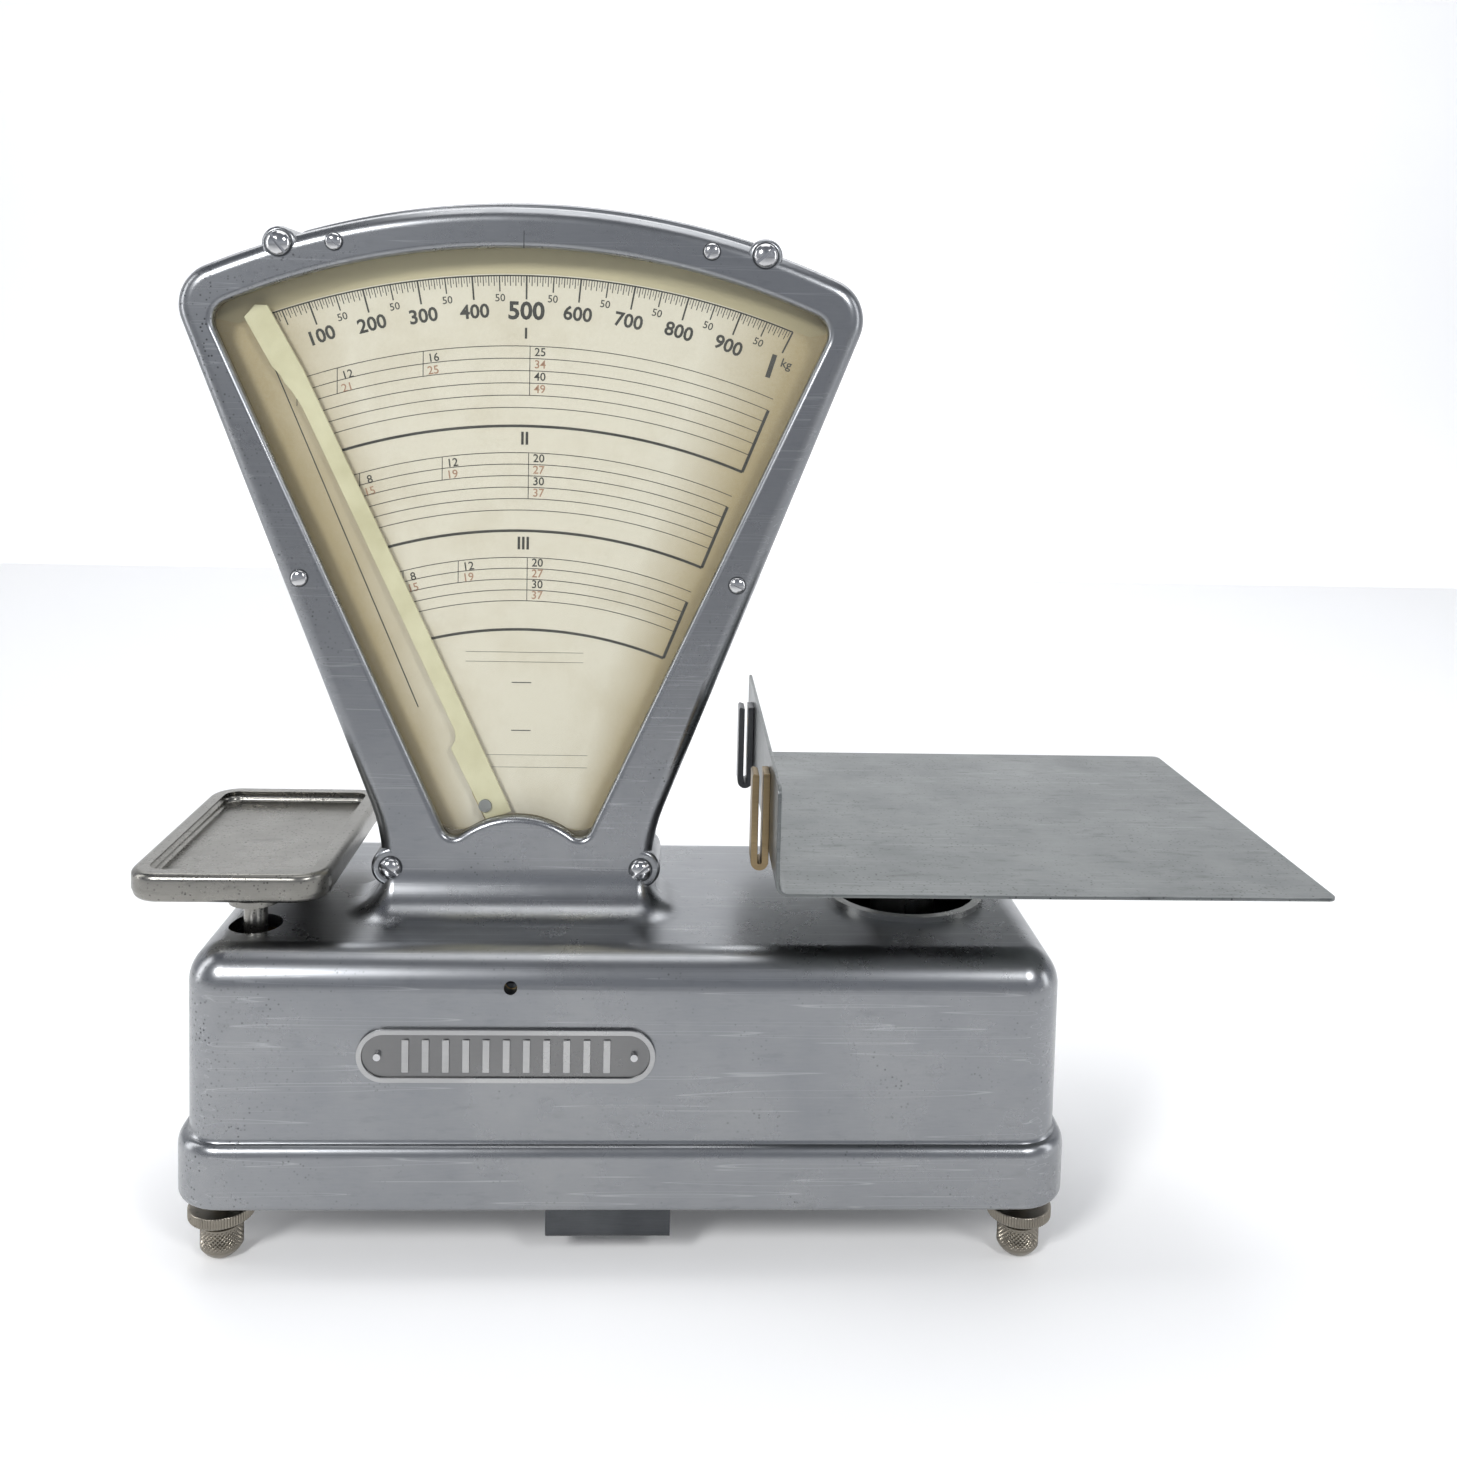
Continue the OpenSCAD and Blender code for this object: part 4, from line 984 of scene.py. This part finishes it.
def make_tray():
    """Sheet bent up into the fence, with the corners of the sheet and of the fence rounded off."""
    t, r, cut_r = 1.2, 4.0, 3.0
    x0, x1 = TRAY_LOW[0], TRAY_HIGH[0]
    bottom, top = TRAY_LOW[2], TRAY_HIGH[2]
    section = [(x1, bottom)] + bend(x0 + r, bottom + r, r, 3, 2, 8) + [(x0, top), (x0 + t, top)]
    section += bend(x0 + r, bottom + r, r - t, 2, 3, 8) + [(x1, bottom + t)]
    tray = extrude_y("sheet_tray", section, TRAY_LOW[1], TRAY_HIGH[1])
    cuts = []
    for s, y in ((-1, TRAY_LOW[1]), (1, TRAY_HIGH[1])):
        corner = corner_cut(x1, y, 1, s, cut_r)
        levels = (bottom + t - 5, bottom + t + 5)
        cuts.append(loft("corner", [[(u, v, z) for u, v in corner] for z in levels]))
        corner = corner_cut(y, top, s, 1, cut_r)
        cuts.append(loft("corner", [[(x, u, v) for u, v in corner] for x in (x0 - 3, x0 + 3)]))
    boolean(tray, cuts, "DIFFERENCE")
    smooth(bevel(tray, 0.3, 2, 50), 40)
    finish_piece(tray, "tray_carrier", "tray_sheet", ["letter_tray"])


CLIP_HALF = 5.0


def make_clip(name, y, replaced, material=None):
    """Hairpin clip on the fence: a strip bent round at the bottom and open at the top."""
    t, lip = 2.3, 0.5
    x1, top = HOOK_HIGH[0], HOOK_HIGH[2]
    r = (x1 - HOOK_LOW[0]) / 2
    cx, cz = x1 - r, HOOK_LOW[2] + r
    section = [(x1, top)] + bend(cx, cz, r, 0, -2, 15)
    section += [(cx - r, top - 0.8), (cx - r + lip, top), (cx - r + t, top - 0.6)]
    section += bend(cx, cz, r - t, -2, 0, 15) + [(x1 - t, top)]
    clip = extrude_y(name, section, y - CLIP_HALF, y + CLIP_HALF)
    smooth(bevel(clip, 0.25, 2, 50), 40)
    finish_piece(clip, "tray_carrier", "worn_clip", replaced, material)


def make_clips():
    """Brass-brown clip in front and dark clip at the rear, each at one end of the CAD pair's box."""
    reach = (HOOK_HIGH[1] - HOOK_LOW[1]) / 2 - CLIP_HALF
    make_clip("front_clip", -reach, ["fence_hooks"])
    make_clip("rear_clip", reach, (), CLIP_STEEL)


# ---- feet and stop ----

def make_knob(place, x, y, stud_top):
    """Knob with a domed end and crossed knurling, on its stud. Heights are over the floor."""
    n, rows, grooves, twist = 240, 40, 15, 2.1
    dome_r, dome_z, dome_h = 8.0, 7.2, 3.0
    knurl_r, knurl_z, knurl_h, depth = 7.15, 3.6, 7.8, 1.1
    stud_r, stud_edge, stud_z = 2.95, 0.6, 12.0
    rings = []
    for k in range(7):
        z = dome_h * (k / 6) ** 1.5
        rings.append([(math.sqrt(max(dome_r ** 2 - (dome_z - z) ** 2, 0)) * 0.985, z)] * n)
    for k in range(rows + 1):
        z = knurl_z + knurl_h * k / rows
        band = min(1.0, 4 * k / rows, 4 * (rows - k) / rows)
        ring = []
        for i in range(n):
            a = 2 * math.pi * i / n
            weave = max(abs(math.sin(grooves * a + z * twist)), abs(math.sin(grooves * a - z * twist)))
            ring.append((knurl_r - depth * band * (1 - weave) - 0.05, z))
        rings.append(ring)
    rings += [[(r, z)] * n for r, z in ((6.2, stud_z), (stud_r, stud_z), (stud_r, stud_top - stud_edge),
                                        (stud_r - stud_edge, stud_top))]
    knob = loft("knob_" + place, [[(x + r * c, y + r * s, z) for (r, z), (c, s) in zip(ring, circle(n))]
                                  for ring in rings])
    smooth(knob, 55)
    finish_piece(knob, "foot_" + place, "foot_metal", ["foot_" + place])


def make_lock_nut(place, x, y):
    """Round nut with fine ridges, bored for the stud."""
    ridges, ridge_h, bore_r = 72, 0.3, 3.05
    low, high = box_mm("lock_nut_" + place)
    nut_r = (high[0] - low[0]) / 2
    normals = np.array(circle(2 * ridges))
    radii = np.where(np.arange(2 * ridges) % 2, nut_r - ridge_h, nut_r)[:, None]
    nut = rounded_solid("nut_" + place, (normals * radii, normals), low[2], high[2], 0.7, 0.7, (x, y))
    boolean(nut, [cylinder("bore", x, y, low[2] - 1, high[2] + 1, bore_r, 48)], "DIFFERENCE")
    smooth(nut, 40)
    finish_piece(nut, "foot_" + place, "foot_metal", ["lock_nut_" + place])


def make_foot(place):
    """Knob and lock nut of one foot, on the CAD foot's axis."""
    node = "foot_" + place
    x, y = middle(node, 0), middle(node, 1)
    make_knob(place, x, y, box_mm(node)[1][2])
    make_lock_nut(place, x, y)


def make_stop():
    """Sheet folded into a U below the front of the base."""
    low, high = box_mm("folded_stop")
    t, r = 1.5, 2.4
    y0, y1, z0, z1 = low[1], high[1], low[2], high[2]
    section = [(y0, z1)] + bend(y0 + r, z0 + r, r, -2, -1, 6) + bend(y1 - r, z0 + r, r, -1, 0, 6)
    section += [(y1, z1), (y1 - t, z1)]
    section += bend(y1 - r, z0 + r, r - t, 0, -1, 6) + bend(y0 + r, z0 + r, r - t, -1, -2, 6)
    section += [(y0 + t, z1)]
    stop = loft("folded_sheet_stop", [[(x, y, z) for y, z in section] for x in (low[0], high[0])])
    smooth(bevel(stop, 0.2, 2, 50), 40)
    finish_piece(stop, "case", "dark_steel", ["folded_stop"])


def paint_cad_nodes():
    """Looks of the CAD nodes that stay as they are."""
    slots = {row["node"]: row["material_slot"] for row in frame["record"]["subparts"]}
    slots["zero_screw"] = "dark_steel"
    for name, obj in NODES.items():
        obj.data.materials.clear()
        obj.data.materials.append(LOOKS[slots[name]])


# ---- stage, lights and camera ----

def make_stage():
    """Pale floor, and a bright backdrop that curves up from it behind the object."""
    half, back, sweep, ceiling = 6000, 1600, 900, 5000
    curve = [(back + sweep - drop, step) for step, drop in quarter(sweep, 16)]
    for name, section, glow in (("floor", [(-half, 0), (back, 0)], 0.08),
                                ("backdrop", curve + [(back + sweep, ceiling)], 0.37)):
        verts = [(x, y, z) for y, z in section for x in (-half, half)]
        faces = [[2 * i, 2 * i + 1, 2 * i + 3, 2 * i + 2] for i in range(len(section) - 1)]
        sheet = new_object(name, verts, faces)
        for face in sheet.data.polygons:
            face.use_smooth = True
        values = {"Base Color": (0.9, 0.9, 0.9), "Roughness": 0.8, "Specular IOR Level": 0.1,
                  "Emission Color": (1, 1, 1), "Emission Strength": glow}
        sheet.data.materials.append(material_with("pale_" + name, values)[0])


def aim(name, light, place, target):
    """Put a light at a place in metres, turned to its target."""
    obj = add_object(name, light)
    obj.location = place
    obj.rotation_euler = (Vector(target) - Vector(place)).to_track_quat("-Z", "Y").to_euler()


def spot(name, place, target, cone, power, radius):
    """Soft-edged spotlight with a cone in degrees."""
    light = bpy.data.lights.new(name, "SPOT")
    light.energy = power
    light.spot_size = math.radians(cone)
    light.spot_blend = 0.6
    light.shadow_soft_size = radius
    aim(name, light, place, target)


def area_light(name, place, target, width, height, power):
    """Rectangular soft light."""
    light = bpy.data.lights.new(name, "AREA")
    light.shape = "RECTANGLE"
    light.size = width
    light.size_y = height
    light.energy = power
    aim(name, light, place, target)


def make_lights():
    """Pale room that darkens upwards, two soft spots from the front, and lights above, behind and beside."""
    world = bpy.data.worlds.new("studio")
    graph = Graph(world)
    shades = [(0.0, (0.5, 0.52, 0.56)), (0.12, (0.42, 0.44, 0.49)), (0.4, (0.24, 0.26, 0.3)),
              (1.0, (0.18, 0.19, 0.22))]
    tone = graph.ramp(graph.axes("Generated")["Z"], shades)
    graph.fill(graph.nodes["Background"], {"Color": tone, "Strength": 1.0})
    bpy.context.scene.world = world
    middle = (-0.03, 0.05, 0.2)
    spot("key", (-0.9, -1.4, 1.15), middle, 34, 84, 0.22)
    spot("fill", (0.9, -1.4, 1.2), middle, 34, 44, 0.22)
    area_light("overhead", (0, 0.15, 1.6), (0, 0.1, 0), 1.0, 1.0, 7.5)
    area_light("rear", (0, 1.5, 1.9), (0, 1.3, 0), 3.0, 0.8, 19)
    area_light("left_strip", (-1.3, -0.1, 0.5), (-0.1, 0, 0.15), 0.3, 1.2, 4)
    area_light("right_strip", (1.4, -0.3, 0.6), (0, 0, 0.15), 0.3, 1.2, 4)


def make_camera():
    """Camera in front of the scale, turned a little, with a shifted lens. Its place is in metres."""
    yaw, pitch, roll = math.radians(2.38), math.radians(4.02), math.radians(1.34)
    forward = Vector((math.sin(yaw) * math.cos(pitch), math.cos(yaw) * math.cos(pitch), -math.sin(pitch)))
    level = forward.cross(Vector((0, 0, 1))).normalized()
    upright = level.cross(forward)
    right = level * math.cos(roll) + upright * math.sin(roll)
    up = upright * math.cos(roll) - level * math.sin(roll)
    data = bpy.data.cameras.new("camera")
    data.lens = 34.6
    data.sensor_width = 36
    data.shift_y = -0.1736
    data.clip_start = 0.01
    camera = add_object("camera", data)
    turn = Matrix((right, up, -forward)).transposed().to_4x4()
    camera.matrix_world = Matrix.Translation((-0.018, -0.510, 0.3008)) @ turn
    bpy.context.scene.camera = camera


paint_cad_nodes()
make_body_casting()
make_rear_cover()
make_screws()
# painted shade: dark rings round the screw heads
make_grime()
make_centre_mark()
make_badge()
make_chart()
make_pointer()
make_pan()
make_tray()
make_clips()
for place in ("front_left", "front_right", "rear_left", "rear_right"):
    make_foot(place)
make_stop()
make_stage()
make_lights()
make_camera()
bpy.context.scene.view_settings.view_transform = "Standard"
